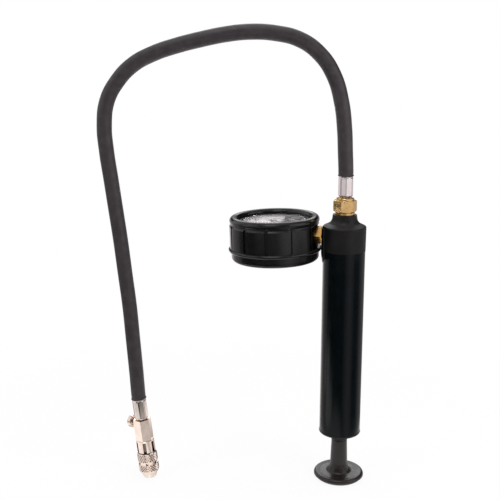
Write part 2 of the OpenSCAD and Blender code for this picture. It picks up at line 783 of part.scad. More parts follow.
module sleeve_spring() color([0.7, 0.7, 0.72]) at_coupler()
    coil(sleeve_coil_r, sleeve_wire_r, spring_pocket_z, shoulder_low, 3);

module coupler_seal() color([0.1, 0.1, 0.1]) at_coupler()
    tube(seal_r - seat_gap, 2, seal_z, seal_z + seal_t);

module depressor_pin() color([0.8, 0.7, 0.5]) at_coupler()
    difference() {
        rotate_extrude() polygon([
            [0, seal_z + 0.3], [pin_r - 0.4, seal_z + 0.3], [pin_r, seal_z + 0.7],
            [pin_r, pin_stop_z - pin_head_t], [collet_neck_r - seat_gap, pin_stop_z - pin_head_t],
            [collet_neck_r - seat_gap, pin_stop_z], [0, pin_stop_z]
        ]);
        // air holes round the pin
        for (a = [0 : 120 : 240]) rotate(a)
            translate([(pin_r + collet_neck_r) / 2, 0, pin_stop_z - pin_head_t - 1])
                cylinder(r = 0.7, h = pin_head_t + 2, $fn = FINE);
    }

module bleed_gland() color([0.8, 0.74, 0.7]) at_coupler()
    translate([0, 0, bleed_z]) rotate(bleed_turn) difference() {
        along_x(gland_r, gland_in, gland_out);
        along_x(bleed_stem_r + run_gap, gland_in - 1, gland_out + 1);
    }

module bleed_knob() color([0.86, 0.8, 0.76]) at_coupler()
    translate([0, 0, bleed_z]) rotate(bleed_turn) rotate([0, 90, 0]) {
        face = gland_out + 0.3;
        translate([0, 0, bleed_stem_in])
            cylinder(r = bleed_stem_r, h = face - bleed_stem_in + 0.1, $fn = FINE);
        rotate_extrude() polygon(concat(
            [[0, face], [knob_r - 0.4, face], [knob_r, face + 0.4]],
            arc(knob_r - 1.6, knob_out - 1.6, 1.6, 0, 80, 5),
            [[0, knob_out]]
        ));
    }

// ---- gauge ----

module gauge_stem() color([0.85, 0.62, 0.33]) at_gauge()
    difference() {
        union() {
            translate([block_x, -block_w / 2, block_low])
                cube([block_len, block_w, block_top - block_low]);
            along_x(shank_stem_r, dial_r + seat_gap, case_r + 2 * seat_gap);
            translate([case_r + seat_gap, 0, 0]) rotate([0, 90, 0]) rotate(30)
                hexagon(stem_af, 0, spot_x - case_r - seat_gap, 0.6);
            along_x(thread_r, pad_x - 1, spot_x + thread_len);
            // pillars that carry the dial
            for (s = [-1, 1]) translate([post_x, s * post_y, block_top - 1])
                cylinder(r = post_r, h = dial_z - block_top + 1, $fn = FINE);
        }
        along_x(passage_r, block_x + 3, spot_x + thread_len + 1);
        // seat of the tube's end, and the hole that feeds it
        rotate(tube_start_a - 14) tube_bend(14, seat_gap / 2);
        translate([tube_ring_r, 0, -1.2]) rotate([90, 0, 0])
            cylinder(r = 0.7, h = tube_ring_r * sin(360 - tube_start_a) + 0.5, $fn = FINE);
        for (s = [-1, 1]) translate([post_x, s * post_y, dial_z - screw_len - 0.5])
            cylinder(r = screw_r + run_gap, h = screw_len + 1, $fn = FINE);
    }

// The Bourdon tube's flattened section swept through an angle, larger all round by grow
module tube_bend(angle, grow) {
    straight = tube_tall - tube_w;
    rotate_extrude(angle = angle) translate([tube_ring_r, tube_mid_z]) {
        square([tube_w + 2 * grow, straight], center = true);
        for (s = [-1, 1]) translate([0, s * straight / 2])
            circle(r = tube_w / 2 + grow, $fn = FINE);
    }
}

module bourdon_tube() color([0.8, 0.6, 0.3]) at_gauge() {
    sweep = tube_start_a - tube_end_a;
    difference() {
        rotate(tube_end_a) tube_bend(sweep, 0);
        rotate(tube_end_a + 4) tube_bend(sweep, -tube_wall);
    }
    // lug and pin that carry the link
    rotate(tip_pin_a - 4) rotate_extrude(angle = tube_end_a - tip_pin_a + 6)
        translate([tube_ring_r - 1.4, tube_mid_z - 3]) square([2.8, 4]);
    translate([tip_x, tip_y, tube_mid_z])
        cylinder(r = link_pin_r, h = link_pin_top - tube_mid_z, $fn = FINE);
}

module gauge_case() color([0.07, 0.07, 0.07]) at_gauge()
    difference() {
        rotate_extrude() polygon([
            [0, case_floor], [case_r - 1.5, case_floor], [case_r, case_floor + 1.5],
            [case_r, case_above], [case_inner_r, case_above],
            [case_inner_r, case_floor + 2], [case_inner_r - 1, case_floor + case_floor_t],
            [0, case_floor + case_floor_t]
        ]);
        along_x(shank_stem_r + seat_gap, case_r - 4, case_r + 4);
    }

module movement_outline(high) {
    difference() {
        union() {
            strap([0, 0], [sector_x, sector_y], 5);
            strap([0, 0], pillars[0], 5);
            strap([0, 0], pillars[1], 5);
            if (!high) strap([0, 0], [block_x + 4, 0], 7);
        }
        circle(r = arbor_r + run_gap, $fn = FINE);
        translate([sector_x, sector_y]) circle(r = arbor_r + run_gap, $fn = FINE);
    }
}

module movement_frame() color([0.82, 0.68, 0.4]) at_gauge() {
    translate([0, 0, plate_low_z]) linear_extrude(height = plate_t) movement_outline(false);
    translate([0, 0, plate_high_z]) linear_extrude(height = plate_t) movement_outline(true);
    for (p = pillars) translate([p[0], p[1], plate_low_z])
        cylinder(r = 1.3, h = plate_high_z - plate_low_z + plate_t, $fn = FINE);
}

// Half the angle of a gear tooth at radius r, for a wheel of n teeth
function inv(a) = tan(a) * 180 / PI - a;
function half_tooth(r, n) =
    let (pitch_r = gear_module * n / 2, base_r = pitch_r * cos(20))
    90 / n - tooth_play / pitch_r * 180 / PI + inv(20) - inv(acos(min(1, base_r / r)));

// Outline points of one tooth centred on angle at, from its right root to its left root
function tooth(at, n, add, ded) =
    let (pitch_r = gear_module * n / 2, base_r = pitch_r * cos(20),
         root = pitch_r - ded, tip = pitch_r + add, start = max(root, base_r))
    concat(
        [let (a = at - half_tooth(start, n)) root * [cos(a), sin(a)]],
        [for (i = [0 : 4]) let (r = start + (tip - start) * i / 4, a = at - half_tooth(r, n))
            r * [cos(a), sin(a)]],
        [for (i = [4 : -1 : 0]) let (r = start + (tip - start) * i / 4, a = at + half_tooth(r, n))
            r * [cos(a), sin(a)]],
        [let (a = at + half_tooth(start, n)) root * [cos(a), sin(a)]]
    );

module sector_gear() color([0.85, 0.72, 0.45]) at_gauge() {
    mesh_a = sector_at + 180;
    step = 360 / sector_teeth;
    first = -ceil(sector_swing / step) - 1;
    last = 2;
    from = mesh_a + (first - 0.5) * step;
    to = mesh_a + (last + 0.5) * step;
    rim_in = sector_r - 2.6;
    translate([sector_x, sector_y, 0]) {
        translate([0, 0, sector_z]) linear_extrude(height = sector_t) {
            polygon(concat(
                [for (i = [first : last])
                    each tooth(mesh_a + i * step, sector_teeth, 0.42, 0.6)],
                arc(0, 0, rim_in, to, from, 12)
            ));
            for (a = [from + 4, (from + to) / 2, to - 4])
                strap([0, 0], (rim_in + 0.8) * [cos(a), sin(a)], 2.4);
            strap([0, 0], tail_arm * [cos(arm_rest_a), sin(arm_rest_a)], 2.8);
            circle(r = 2.4, $fn = FINE);
        }
        translate([0, 0, plate_low_z])
            cylinder(r = arbor_r, h = plate_high_z + plate_t - plate_low_z, $fn = FINE);
    }
    translate([arm_x, arm_y, sector_z])
        cylinder(r = link_pin_r, h = link_pin_top - sector_z, $fn = FINE);
}

module pinion_arbor() color([0.8, 0.78, 0.72]) at_gauge() {
    translate([0, 0, pinion_z]) linear_extrude(height = pinion_h)
        polygon([for (i = [0 : pinion_teeth - 1])
            each tooth(sector_at + (i + 0.5) * 360 / pinion_teeth, pinion_teeth, 0.5, 0.55)]);
    translate([0, 0, plate_low_z])
        cylinder(r = arbor_r, h = arbor_top - plate_low_z, $fn = FINE);
}

module movement_link() color([0.8, 0.72, 0.5]) at_gauge() {
    along = [cos(link_dir), sin(link_dir)];
    eye = [sector_x, sector_y] + tail_arm * [cos(arm_mid_a), sin(arm_mid_a)]
        - link_pull / 2 * along;
    pin = [tip_x, tip_y];
    slot_end = pin - link_pull * along;
    translate([0, 0, link_z]) linear_extrude(height = link_t) difference() {
        union() {
            strap(eye, pin, 2.6);
            translate(eye) circle(r = 1.9, $fn = FINE);
        }
        translate(eye) circle(r = link_pin_r + 0.45, $fn = FINE);
        strap(slot_end, pin, 2 * (link_pin_r + seat_gap));
    }
}

module dial() color([0.9, 0.87, 0.87]) at_gauge()
    difference() {
        translate([0, 0, dial_z]) cylinder(r = dial_r, h = dial_t);
        translate([0, 0, dial_z - 1]) cylinder(r = arbor_r + 0.6, h = dial_t + 2, $fn = FINE);
        for (s = [-1, 1]) translate([post_x, s * post_y, dial_z - 1])
            cylinder(r = screw_r + seat_gap, h = dial_t + 2, $fn = FINE);
    }

module dial_screws() color([0.7, 0.7, 0.7]) at_gauge()
    for (s = [-1, 1]) translate([post_x, s * post_y, dial_top]) difference() {
        union() {
            translate([0, 0, -dial_t - screw_len])
                cylinder(r = screw_r, h = dial_t + screw_len + 0.1, $fn = FINE);
            cylinder(r = 2 * screw_r, h = screw_r, $fn = FINE);
        }
        translate([-2, -0.15, 0.35]) cube([4, 0.3, 1]);
    }

module pointer() color([0.06, 0.06, 0.06]) at_gauge()
    rotate(-45) difference() {
        union() {
            translate([0, 0, pointer_z]) linear_extrude(height = 0.5) polygon([
                [-8, -1.1], [-5, -1.1], [-2, -0.7], [2, -0.8], [pointer_len - 1.5, -0.25],
                [pointer_len, 0], [pointer_len - 1.5, 0.25], [2, 0.8], [-2, 0.7], [-5, 1.1],
                [-8, 1.1]
            ]);
            translate([0, 0, pointer_z - 0.5])
                cylinder(r = 2.2, h = arbor_top - pointer_z + 1.1, $fn = FINE);
        }
        translate([0, 0, pointer_z - 1])
            cylinder(r = arbor_r + run_gap, h = arbor_top - pointer_z + 1, $fn = FINE);
    }

module gauge_lens() color([0.85, 0.9, 0.92, 0.4]) at_gauge()
    rotate_extrude() polygon([
        [0, lens_z], [case_r - 0.2, lens_z], [case_r - 0.2, lens_top],
        [window_r - 0.3, lens_top], [window_r - 0.3, lens_top + lens_rise - 0.5],
        [window_r - 0.8, lens_top + lens_rise], [0, lens_top + lens_rise]
    ]);

module gauge_bezel() color([0.09, 0.09, 0.1]) at_gauge()
    rotate_extrude() polygon([
        [case_r + seat_gap, bezel_low], [bezel_r, bezel_low], [bezel_r, bezel_top - 0.5],
        [bezel_r - 0.5, bezel_top], [window_r + 0.9, bezel_top], [window_r, lens_top + 0.3],
        [window_r, lens_top], [case_r + seat_gap, lens_top]
    ]);

module gauge_boot() color([0.1, 0.1, 0.1]) at_gauge()
    difference() {
        rotate_extrude() polygon(concat(
            [[boot_hole_r, boot_low], [drum_r - drum_round, boot_low]],
            arc(drum_r - drum_round, boot_low + drum_round, drum_round, -75, -15, 4),
            [[drum_r, boot_low + drum_round + 0.4], [drum_r, bead_z - 0.4], [bead_r - 0.7, bead_z]],
            arc(bead_r - 1.2, bead_z + bead_h / 2, 1.3, -55, 55, 5),
            [[boot_r, bead_z + bead_h], [boot_r, lip_z - lip_r - 0.9],
             [boot_r - 0.9, lip_z - lip_r + 0.4]],
            arc(lip_ring_r, lip_z, lip_r, -40, 180, 16),
            [[lip_ring_r - lip_r, bezel_top + seat_gap], [bezel_r + seat_gap, bezel_top + seat_gap],
             [bezel_r + seat_gap, bezel_low - seat_gap], [boot_bore_r, bezel_low - seat_gap],
             [boot_bore_r, bezel_low - 2], [boot_relief_r, bezel_low - 4],
             [boot_relief_r, case_floor + 7], [boot_bore_r, case_floor + 5],
             [boot_bore_r, case_floor], [boot_hole_r, case_floor]]
        ));
        for (i = [0 : groove_count - 1]) rotate(360 * i / groove_count)
            translate([boot_r - groove_depth, -groove_w / 2, boot_groove_low])
                cube([2 * groove_depth + lip_r, groove_w, boot_groove_high - boot_groove_low]);
        // notch for the stem, between the bead and the lip
        notch_low = bead_z + bead_h;
        translate([case_r / 2, -notch_half_w, notch_low])
            cube([boot_r, 2 * notch_half_w, lip_z - lip_r - notch_low]);
    }

handle();
piston_rod();
piston();
cup_seal();
piston_washer();
piston_nut();
barrel();
barrel_end_cap();
rod_bush();
head_cap();
head_seal();
valve_seat();
check_ball();
valve_spring();
outlet_nipple();
swivel_nut();
hose_tail();
ferrule_top();
hose();
ferrule_bottom();
coupler_body();
coupler_collet();
coupler_sleeve();
sleeve_spring();
coupler_seal();
depressor_pin();
bleed_gland();
bleed_knob();
gauge_stem();
gauge_case();
bourdon_tube();
movement_frame();
sector_gear();
pinion_arbor();
movement_link();
dial();
dial_screws();
pointer();
gauge_lens();
gauge_bezel();
gauge_boot();
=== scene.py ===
"""Looks and stage of a hand-pump pressure tester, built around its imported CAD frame.

Metres, +Z up along the pump, the origin at the centre of the plunger handle's flat face.
"""
import json
import math

import bmesh
import bpy
from bpy.props import FloatProperty, FloatVectorProperty, IntProperty, PointerProperty
from mathutils import Matrix, Vector


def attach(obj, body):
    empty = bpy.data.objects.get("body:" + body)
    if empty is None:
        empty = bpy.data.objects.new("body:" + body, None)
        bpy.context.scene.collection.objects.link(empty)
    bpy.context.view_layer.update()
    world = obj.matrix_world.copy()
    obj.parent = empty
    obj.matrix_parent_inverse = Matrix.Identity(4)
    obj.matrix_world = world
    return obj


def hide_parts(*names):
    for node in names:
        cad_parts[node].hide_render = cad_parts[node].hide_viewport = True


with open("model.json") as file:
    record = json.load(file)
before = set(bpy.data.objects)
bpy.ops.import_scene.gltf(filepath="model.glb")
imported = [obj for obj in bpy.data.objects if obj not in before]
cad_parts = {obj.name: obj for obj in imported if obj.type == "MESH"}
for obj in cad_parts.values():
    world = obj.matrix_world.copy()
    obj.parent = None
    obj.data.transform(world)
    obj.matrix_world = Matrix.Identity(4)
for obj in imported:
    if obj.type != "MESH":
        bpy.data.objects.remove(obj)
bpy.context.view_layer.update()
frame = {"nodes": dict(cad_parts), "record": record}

bl_info = {
    "name": "Pressure Tester Looks",
    "version": (1, 0, 0),
    "blender": (4, 5, 0),
    "location": "View3D > Sidebar > Tester",
    "description": "Dresses the hand-pump pressure tester and sets its stage",
    "category": "Object",
}

MM = 0.001

# Places of the gauge and the coupler, as in the CAD source
PORT_HEIGHT = 223 * MM
GAUGE_REACH = 60 * MM
GAUGE_TURN = math.radians(-12)
GAUGE_DROOP = math.radians(1.7)
COUPLER_OUT = 170.3 * MM
COUPLER_LEAN = math.radians(6.3)
COUPLER_NOSE = 5.4 * MM
GAUGE = (
    Matrix.Translation((0, 0, PORT_HEIGHT))
    @ Matrix.Rotation(GAUGE_TURN, 4, "Z")
    @ Matrix.Rotation(-GAUGE_DROOP, 4, "Y")
    @ Matrix.Translation((-GAUGE_REACH, 0, 0))
)
COUPLER = Matrix.Translation(
    (-COUPLER_OUT, 0, COUPLER_NOSE * math.sin(COUPLER_LEAN))
) @ Matrix.Rotation(-COUPLER_LEAN, 4, "Y")

# The hose's centre line, in millimetres, from the top ferrule to the coupler's ferrule
HOSE_EXIT = (0, 0, 273.3)
HOSE_ROUTE = [
    (-1, 0, 295), (-2, 0, 312), (-5, 0, 334), (-12, 0, 356), (-24, 0, 373),
    (-40, 0, 384), (-60, 0, 389), (-80, 0, 390), (-100, 0, 388), (-120, 0, 384),
    (-140, 0, 379), (-158, 0, 373), (-175, 0, 364), (-188, 0, 351),
    (-197, 0, 335), (-200, 0, 315), (-199, 0, 295), (-196, 0, 270),
    (-193, 0, 245), (-190, 0, 220), (-187, 0, 190), (-184, 0, 160),
    (-182, 0, 130), (-180, 0, 100),
]
COUPLER_END = 74.8 * MM          # the lower ferrule's end, along the coupler's axis

DIAL_TOP = 8.1 * MM              # the dial plate's face, along the gauge's axis
CAMERA_BEARING = math.radians(6.5)   # how far the camera stands left of straight ahead

SCALE_START = -45                # degrees from the stem, where the scale begins
SCALE_SWEEP = -270


class TesterSizes(bpy.types.PropertyGroup):
    """Sizes of the pieces that are modelled here"""

    hose_diameter: FloatProperty(
        name="Hose diameter", description="Outer diameter of the hose",
        default=12.7 * MM, min=0.008, max=0.016, unit="LENGTH", precision=4)
    hose_length: FloatProperty(
        name="Hose length", description="Length of the hose between its ferrules",
        default=0.563, min=0.3, max=1.2, unit="LENGTH", precision=4)
    hose_lip: FloatProperty(
        name="Hose lip", description="How far the rubber bulges where a ferrule pinches it",
        default=0.4 * MM, min=0.0001, max=0.001, unit="LENGTH", precision=5)
    knurl_count: IntProperty(
        name="Knurl count", description="Diamonds round the coupler's sleeve",
        default=24, min=16, max=40)
    knurl_depth: FloatProperty(
        name="Knurl depth", description="Height of the diamonds on the sleeve",
        default=0.55 * MM, min=0.0001, max=0.001, unit="LENGTH", precision=5)
    tick_length: FloatProperty(
        name="Tick length", description="Length of the long ticks on the dial",
        default=3.2 * MM, min=0.001, max=0.006, unit="LENGTH", precision=4)
    figure_height: FloatProperty(
        name="Figure height", description="Height of the dial's figures",
        default=4.6 * MM, min=0.002, max=0.008, unit="LENGTH", precision=4)


class TesterColours(bpy.types.PropertyGroup):
    """Main colours of the tester"""

    rubber: FloatVectorProperty(
        name="Hose rubber", description="Black of the hose", subtype="COLOR",
        default=(0.030, 0.026, 0.029), min=0, max=1)
    boot: FloatVectorProperty(
        name="Boot rubber", description="Glossy black of the gauge's boot", subtype="COLOR",
        default=(0.0040, 0.0040, 0.0044), min=0, max=1)
    paint: FloatVectorProperty(
        name="Barrel paint", description="Gloss black of the barrel", subtype="COLOR",
        default=(0.0012, 0.0026, 0.0032), min=0, max=1)
    plastic: FloatVectorProperty(
        name="Moulded plastic", description="Satin black of the head and the handle",
        subtype="COLOR", default=(0.0065, 0.0061, 0.0063), min=0, max=1)
    brass: FloatVectorProperty(
        name="Brass", description="Bright turned brass", subtype="COLOR",
        default=(0.83, 0.56, 0.24), min=0, max=1)
    # The nickel's peach tint is partly the plate's own warm colour and partly a painted warm
    # reflection of the surroundings.
    nickel: FloatVectorProperty(
        name="Nickel", description="Warm nickel plate of the coupler", subtype="COLOR",
        default=(0.92, 0.76, 0.67), min=0, max=1)
    # The dial's colour is lowered below its real white as painted shade, making up for the
    # strong light that falls on it from overhead.
    dial: FloatVectorProperty(
        name="Dial", description="White of the dial plate", subtype="COLOR",
        default=(0.62, 0.58, 0.595), min=0, max=1)


class TesterStage(bpy.types.PropertyGroup):
    """Lamps and camera"""

    right_power: FloatProperty(
        name="Right softbox", description="Power of the tall softbox at the front right",
        default=4.5, min=0, max=200, unit="POWER")
    left_power: FloatProperty(
        name="Left softbox", description="Power of the softbox at the front left",
        default=2.5, min=0, max=200, unit="POWER")
    top_power: FloatProperty(
        name="Top softbox", description="Power of the softbox overhead",
        default=5.0, min=0, max=200, unit="POWER")
    dial_power: FloatProperty(
        name="Dial lamp", description="Power of the small lamp over the dial",
        default=0.035, min=0, max=10, unit="POWER", precision=3)
    ambient: FloatProperty(
        name="Ambient", description="Strength of the white room", default=0.45, min=0, max=2)
    overhead: FloatProperty(
        name="Overhead", description="Strength of the overhead light that gloss mirrors",
        default=0.5, min=0, max=4)
    back_light: FloatProperty(
        name="Back light", description="Strength of the lights that give gloss its edges",
        default=2.4, min=0, max=8)
    focal_length: FloatProperty(
        name="Focal length", description="Camera lens in millimetres",
        default=61.3, min=20, max=200)
    camera_place: FloatVectorProperty(
        name="Camera", description="Where the camera stands", subtype="TRANSLATION",
        default=(-0.080, -0.706, 0.373), unit="LENGTH")
    camera_tilt: FloatProperty(
        name="Camera tilt", description="Camera's turn up from looking straight down",
        default=math.radians(77), subtype="ANGLE")


# ---------------------------------------------------------------- modelling helpers


def only(obj):
    """Makes obj the one selected and active object."""
    bpy.ops.object.select_all(action="DESELECT")
    obj.select_set(True)
    bpy.context.view_layer.objects.active = obj


def named(name):
    """Names the object that an operator has just added."""
    obj = bpy.context.object
    obj.name = name
    obj.data.name = name
    return obj


def settle(obj, matrix):
    """Moves obj by matrix and puts its place into its mesh."""
    only(obj)
    obj.matrix_world = matrix @ obj.matrix_world
    bpy.ops.object.transform_apply(location=True, rotation=True, scale=True)


def apply_modifier(obj, kind, **settings):
    """Adds one modifier with settings and applies it."""
    only(obj)
    modifier = obj.modifiers.new(kind.title(), kind)
    for key, value in settings.items():
        setattr(modifier, key, value)
    bpy.ops.object.modifier_apply(modifier=modifier.name)


def copied(obj, name, matrix):
    """A copy of obj with its own mesh, moved by matrix."""
    twin = obj.copy()
    twin.data = obj.data.copy()
    twin.name = twin.data.name = name
    bpy.context.scene.collection.objects.link(twin)
    settle(twin, matrix)
    return twin


def joined(name, parts):
    """Joins separate objects into one piece."""
    bpy.ops.object.select_all(action="DESELECT")
    for part in parts:
        part.select_set(True)
    bpy.context.view_layer.objects.active = parts[0]
    bpy.ops.object.join()
    return named(name)


def turned_rings(name, rings, count):
    """A closed turned shape: a circle of count points that is extruded from ring to ring.

    rings are (radius, height) pairs; the last one joins the first.
    """
    radius, height = rings[0]
    bpy.ops.object.select_all(action="DESELECT")
    bpy.ops.mesh.primitive_circle_add(vertices=count, radius=radius, location=(0, 0, height))
    obj = named(name)
    bpy.ops.object.transform_apply(location=True)
    bpy.ops.object.mode_set(mode="EDIT")
    bpy.ops.mesh.select_all(action="SELECT")
    for next_radius, next_height in rings[1:] + rings[:1]:
        bpy.ops.mesh.extrude_region_move(
            TRANSFORM_OT_translate={"value": (0, 0, next_height - height)})
        scale = next_radius / radius
        bpy.ops.transform.resize(value=(scale, scale, 1), center_override=(0, 0, next_height))
        radius, height = next_radius, next_height
    bpy.ops.mesh.select_all(action="SELECT")
    bpy.ops.mesh.remove_doubles(threshold=1e-6)
    bpy.ops.mesh.normals_make_consistent(inside=False)
    bpy.ops.object.mode_set(mode="OBJECT")
    return obj


def select_points(obj, test):
    """In edit mode, selects the points whose place passes the test."""
    bpy.ops.mesh.select_mode(type="VERT")
    bpy.ops.mesh.select_all(action="DESELECT")
    mesh = bmesh.from_edit_mesh(obj.data)
    for point in mesh.verts:
        point.select = bool(test(point.co))
    mesh.select_flush(True)
    bmesh.update_edit_mesh(obj.data)


# ---------------------------------------------------------------- shader nodes


def feed(tree, target, value):
    """Links an input to a socket, or sets it to a plain value."""
    if isinstance(value, bpy.types.NodeSocket):
        tree.links.new(value, target)
    else:
        target.default_value = value


def add_node(tree, kind, inputs=None, **settings):
    """Adds a shader node with its settings, and feeds its inputs by name or number."""
    node = tree.nodes.new("ShaderNode" + kind)
    for key, value in settings.items():
        setattr(node, key, value)
    for key, value in (inputs or {}).items():
        feed(tree, node.inputs[key], value)
    return node


def worked_out(tree, operation, *values):
    """The result of a Math node."""
    return add_node(tree, "Math", dict(enumerate(values)), operation=operation).outputs[0]


def ranged(tree, value, start, stop, low=0.0, high=1.0, **settings):
    """A value that goes from low to high as the given one goes from start to stop."""
    inputs = {"Value": value, "From Min": start, "From Max": stop, "To Min": low, "To Max": high}
    return add_node(tree, "MapRange", inputs, **settings).outputs["Result"]


def faded(tree, value, start, stop):
    """One while value is below start, and zero above stop."""
    return ranged(tree, value, start, stop, 1.0, 0.0, interpolation_type="SMOOTHSTEP")


def mixed(tree, share, first, second, **settings):
    """Two colours, mixed by the share of the second."""
    inputs = {0: share, 6: first, 7: second}
    return add_node(tree, "Mix", inputs, data_type="RGBA", **settings).outputs[2]


def mixed_shaders(tree, share, first, second):
    """Two shaders, mixed by the share of the second."""
    return add_node(tree, "MixShader", {0: share, 1: first, 2: second}).outputs[0]


def distance(tree, place, centre):
    """How far a place is from a centre."""
    inputs = {0: place, 1: centre}
    return add_node(tree, "VectorMath", inputs, operation="DISTANCE").outputs["Value"]


def cloud(tree, place, scale, detail):
    """The grey of a noise texture."""
    inputs = {"Vector": place, "Scale": scale, "Detail": detail}
    return add_node(tree, "TexNoise", inputs).outputs["Fac"]


# ---------------------------------------------------------------- shared effects

VECTOR, NUMBER, COLOUR = "NodeSocketVector", "NodeSocketFloat", "NodeSocketColor"


def shader_group(name, output, kind, *inputs):
    """A new node group that reads Place and the inputs, as (label, kind, default).

    Returns it with its inputs, by label, and with the socket that its output takes.
    """
    group = bpy.data.node_groups.new(name, "ShaderNodeTree")
    for label, input_kind, value in (("Place", VECTOR, None),) + inputs:
        socket = group.interface.new_socket(
            name=label, in_out="INPUT", socket_type=input_kind)
        if value is not None:
            socket.default_value = value
    group.interface.new_socket(name=output, in_out="OUTPUT", socket_type=kind)
    given, result = group.nodes.new("NodeGroupInput"), group.nodes.new("NodeGroupOutput")
    return group, given.outputs, result.inputs[output]


def tone_drift():
    """Two tones that drift into each other."""
    group, given, result = shader_group(
        "Tone Drift", "Color", COLOUR,
        ("Scale", NUMBER, 90.0), ("Dark", COLOUR, None), ("Light", COLOUR, None))
    share = ranged(group, cloud(group, given["Place"], given["Scale"], 4.0), 0.35, 0.65)
    feed(group, result, mixed(group, share, given["Dark"], given["Light"]))
    return group


def handled_gloss():
    """Roughness that varies in soft patches."""
    group, given, result = shader_group(
        "Handled Gloss", "Roughness", NUMBER,
        ("Scale", NUMBER, 120.0), ("Smooth", NUMBER, 0.2), ("Worn", NUMBER, 0.35))
    patches = cloud(group, given["Place"], given["Scale"], 5.0)
    feed(group, result, ranged(group, patches, 0.3, 0.7, given["Smooth"], given["Worn"]))
    return group


def moulded_grain():
    """Height of a fine grain over soft waves."""
    group, given, result = shader_group(
        "Moulded Grain", "Height", NUMBER, ("Scale", NUMBER, 2500.0), ("Waves", NUMBER, 60.0))
    fine = cloud(group, given["Place"], given["Scale"], 2.0)
    waves = cloud(group, given["Place"], given["Waves"], 1.0)
    feed(group, result, worked_out(group, "MULTIPLY_ADD", fine, 0.35, waves))
    return group


def tool_lines():
    """Height of the fine lines that a lathe leaves, where Place is squeezed along them."""
    group, given, result = shader_group(
        "Tool Lines", "Height", NUMBER, ("Scale", NUMBER, 4000.0))
    feed(group, result, cloud(group, given["Place"], given["Scale"], 2.0))
    return group


def settled_dust():
    """Pale dust that settles in specks on faces turned up."""
    group, given, result = shader_group(
        "Settled Dust", "Color", COLOUR,
        ("Base", COLOUR, None), ("Dust", COLOUR, (0.30, 0.27, 0.27, 1)), ("Amount", NUMBER, 0.2))
    normal = add_node(group, "NewGeometry").outputs["Normal"]
    upward = ranged(group, add_node(group, "SeparateXYZ", {0: normal}).outputs["Z"], 0.35, 1.0)
    specks = ranged(group, cloud(group, given["Place"], 900.0, 5.0), 0.45, 0.75)
    dusty = worked_out(group, "MULTIPLY", upward, specks)
    share = worked_out(group, "MULTIPLY", dusty, given["Amount"])
    feed(group, result, mixed(group, share, given["Base"], given["Dust"]))
    return group


def coupler_recess():
    """Painted shade in the coupler's slots and holes: a darker colour within a reach of its
    axis, near a level.
    """
    # the second colour is painted shade, darkening the slots and holes
    group, given, result = shader_group(
        "Coupler Painted Recess Shade", "Color", COLOUR,
        ("Base", COLOUR, None), ("Painted Shade", COLOUR, (0.20, 0.145, 0.12, 1)),
        ("Reach", NUMBER, 0.006), ("Level", NUMBER, 0.024), ("Half", NUMBER, 0.012))
    place = add_node(group, "SeparateXYZ", {0: given["Place"]}).outputs
    across = add_node(group, "CombineXYZ", {"X": place["X"], "Y": place["Y"]}).outputs[0]
    radius = add_node(group, "VectorMath", {0: across}, operation="LENGTH").outputs["Value"]
    deep = worked_out(group, "LESS_THAN", radius, given["Reach"])
    level = worked_out(group, "COMPARE", place["Z"], given["Level"], given["Half"])
    inside = worked_out(group, "MULTIPLY", deep, level)
    feed(group, result, mixed(group, inside, given["Base"], given["Painted Shade"]))
    return group


EFFECTS = {"tone": tone_drift, "gloss": handled_gloss, "grain": moulded_grain,
           "lines": tool_lines, "dust": settled_dust, "recess": coupler_recess}


class Finish:
    """A material in the making: one Principled BSDF and the effects that feed it."""

    groups = {}

    def __init__(self, name, **constants):
        if not Finish.groups:
            Finish.groups.update((key, build()) for key, build in EFFECTS.items())
        self.material = bpy.data.materials.new(name)
        self.material.use_nodes = True
        self.tree = self.material.node_tree
        self.shader = self.tree.nodes["Principled BSDF"]
        self.place = add_node(self.tree, "TexCoord").outputs["Object"]
        for key, value in constants.items():
            self.shader.inputs[key.replace("_", " ")].default_value = value

    def effect(self, key, place=None, **values):
        """What a shared effect gives for these inputs."""
        inputs = {"Place": place or self.place, **values}
        return add_node(self.tree, "Group", inputs, node_tree=Finish.groups[key]).outputs[0]

    def stretched(self, scale):
        """The piece's own coordinates, squeezed."""
        inputs = {"Vector": self.place, "Scale": scale}
        return add_node(self.tree, "Mapping", inputs).outputs["Vector"]

    def tones(self, colour, spread=0.18, scale=90.0, dust=0.0):
        """Base colour that drifts by spread, with dust on what faces up."""
        dark = tuple(c * (1 - spread) for c in colour) + (1,)
        light = tuple(min(1, c * (1 + spread)) for c in colour) + (1,)
        tone = self.effect("tone", Scale=scale, Dark=dark, Light=light)
        if dust:
            tone = self.effect("dust", Base=tone, Amount=dust)
        feed(self.tree, self.shader.inputs["Base Color"], tone)
        return self

    def recess(self, reach, level, half):
        """Paints shade into what lies deep in the coupler, within half of a level along its
        axis.
        """
        inputs = {"Vector": self.place, "Location": COUPLER.translation,
                  "Rotation": COUPLER.to_euler()}
        along = add_node(self.tree, "Mapping", inputs, vector_type="TEXTURE").outputs["Vector"]
        base = self.shader.inputs["Base Color"]
        # painted shade in the coupler's recesses
        painted_shade = self.effect("recess", along, Base=base.links[0].from_socket, Reach=reach,
                            Level=level, Half=half)
        feed(self.tree, base, painted_shade)
        return self

    def gloss(self, smooth, worn, scale=120.0):
        """Roughness between two values in soft patches."""
        feed(self.tree, self.shader.inputs["Roughness"],
             self.effect("gloss", Scale=scale, Smooth=smooth, Worn=worn))
        return self

    def bump(self, key, strength, distance, place=None, **values):
        """Bump from one of the effects that give a height."""
        inputs = {"Strength": strength, "Distance": distance,
                  "Height": self.effect(key, place, **values)}
        bump = add_node(self.tree, "Bump", inputs)
        feed(self.tree, self.shader.inputs["Normal"], bump.outputs["Normal"])
        return self


def wear(finish, *node_names):
    """Gives CAD nodes a finish."""
    for name in node_names:
        slots = frame["nodes"][name].data.materials
        slots.clear()
        slots.append(finish.material)


# ---------------------------------------------------------------- pieces


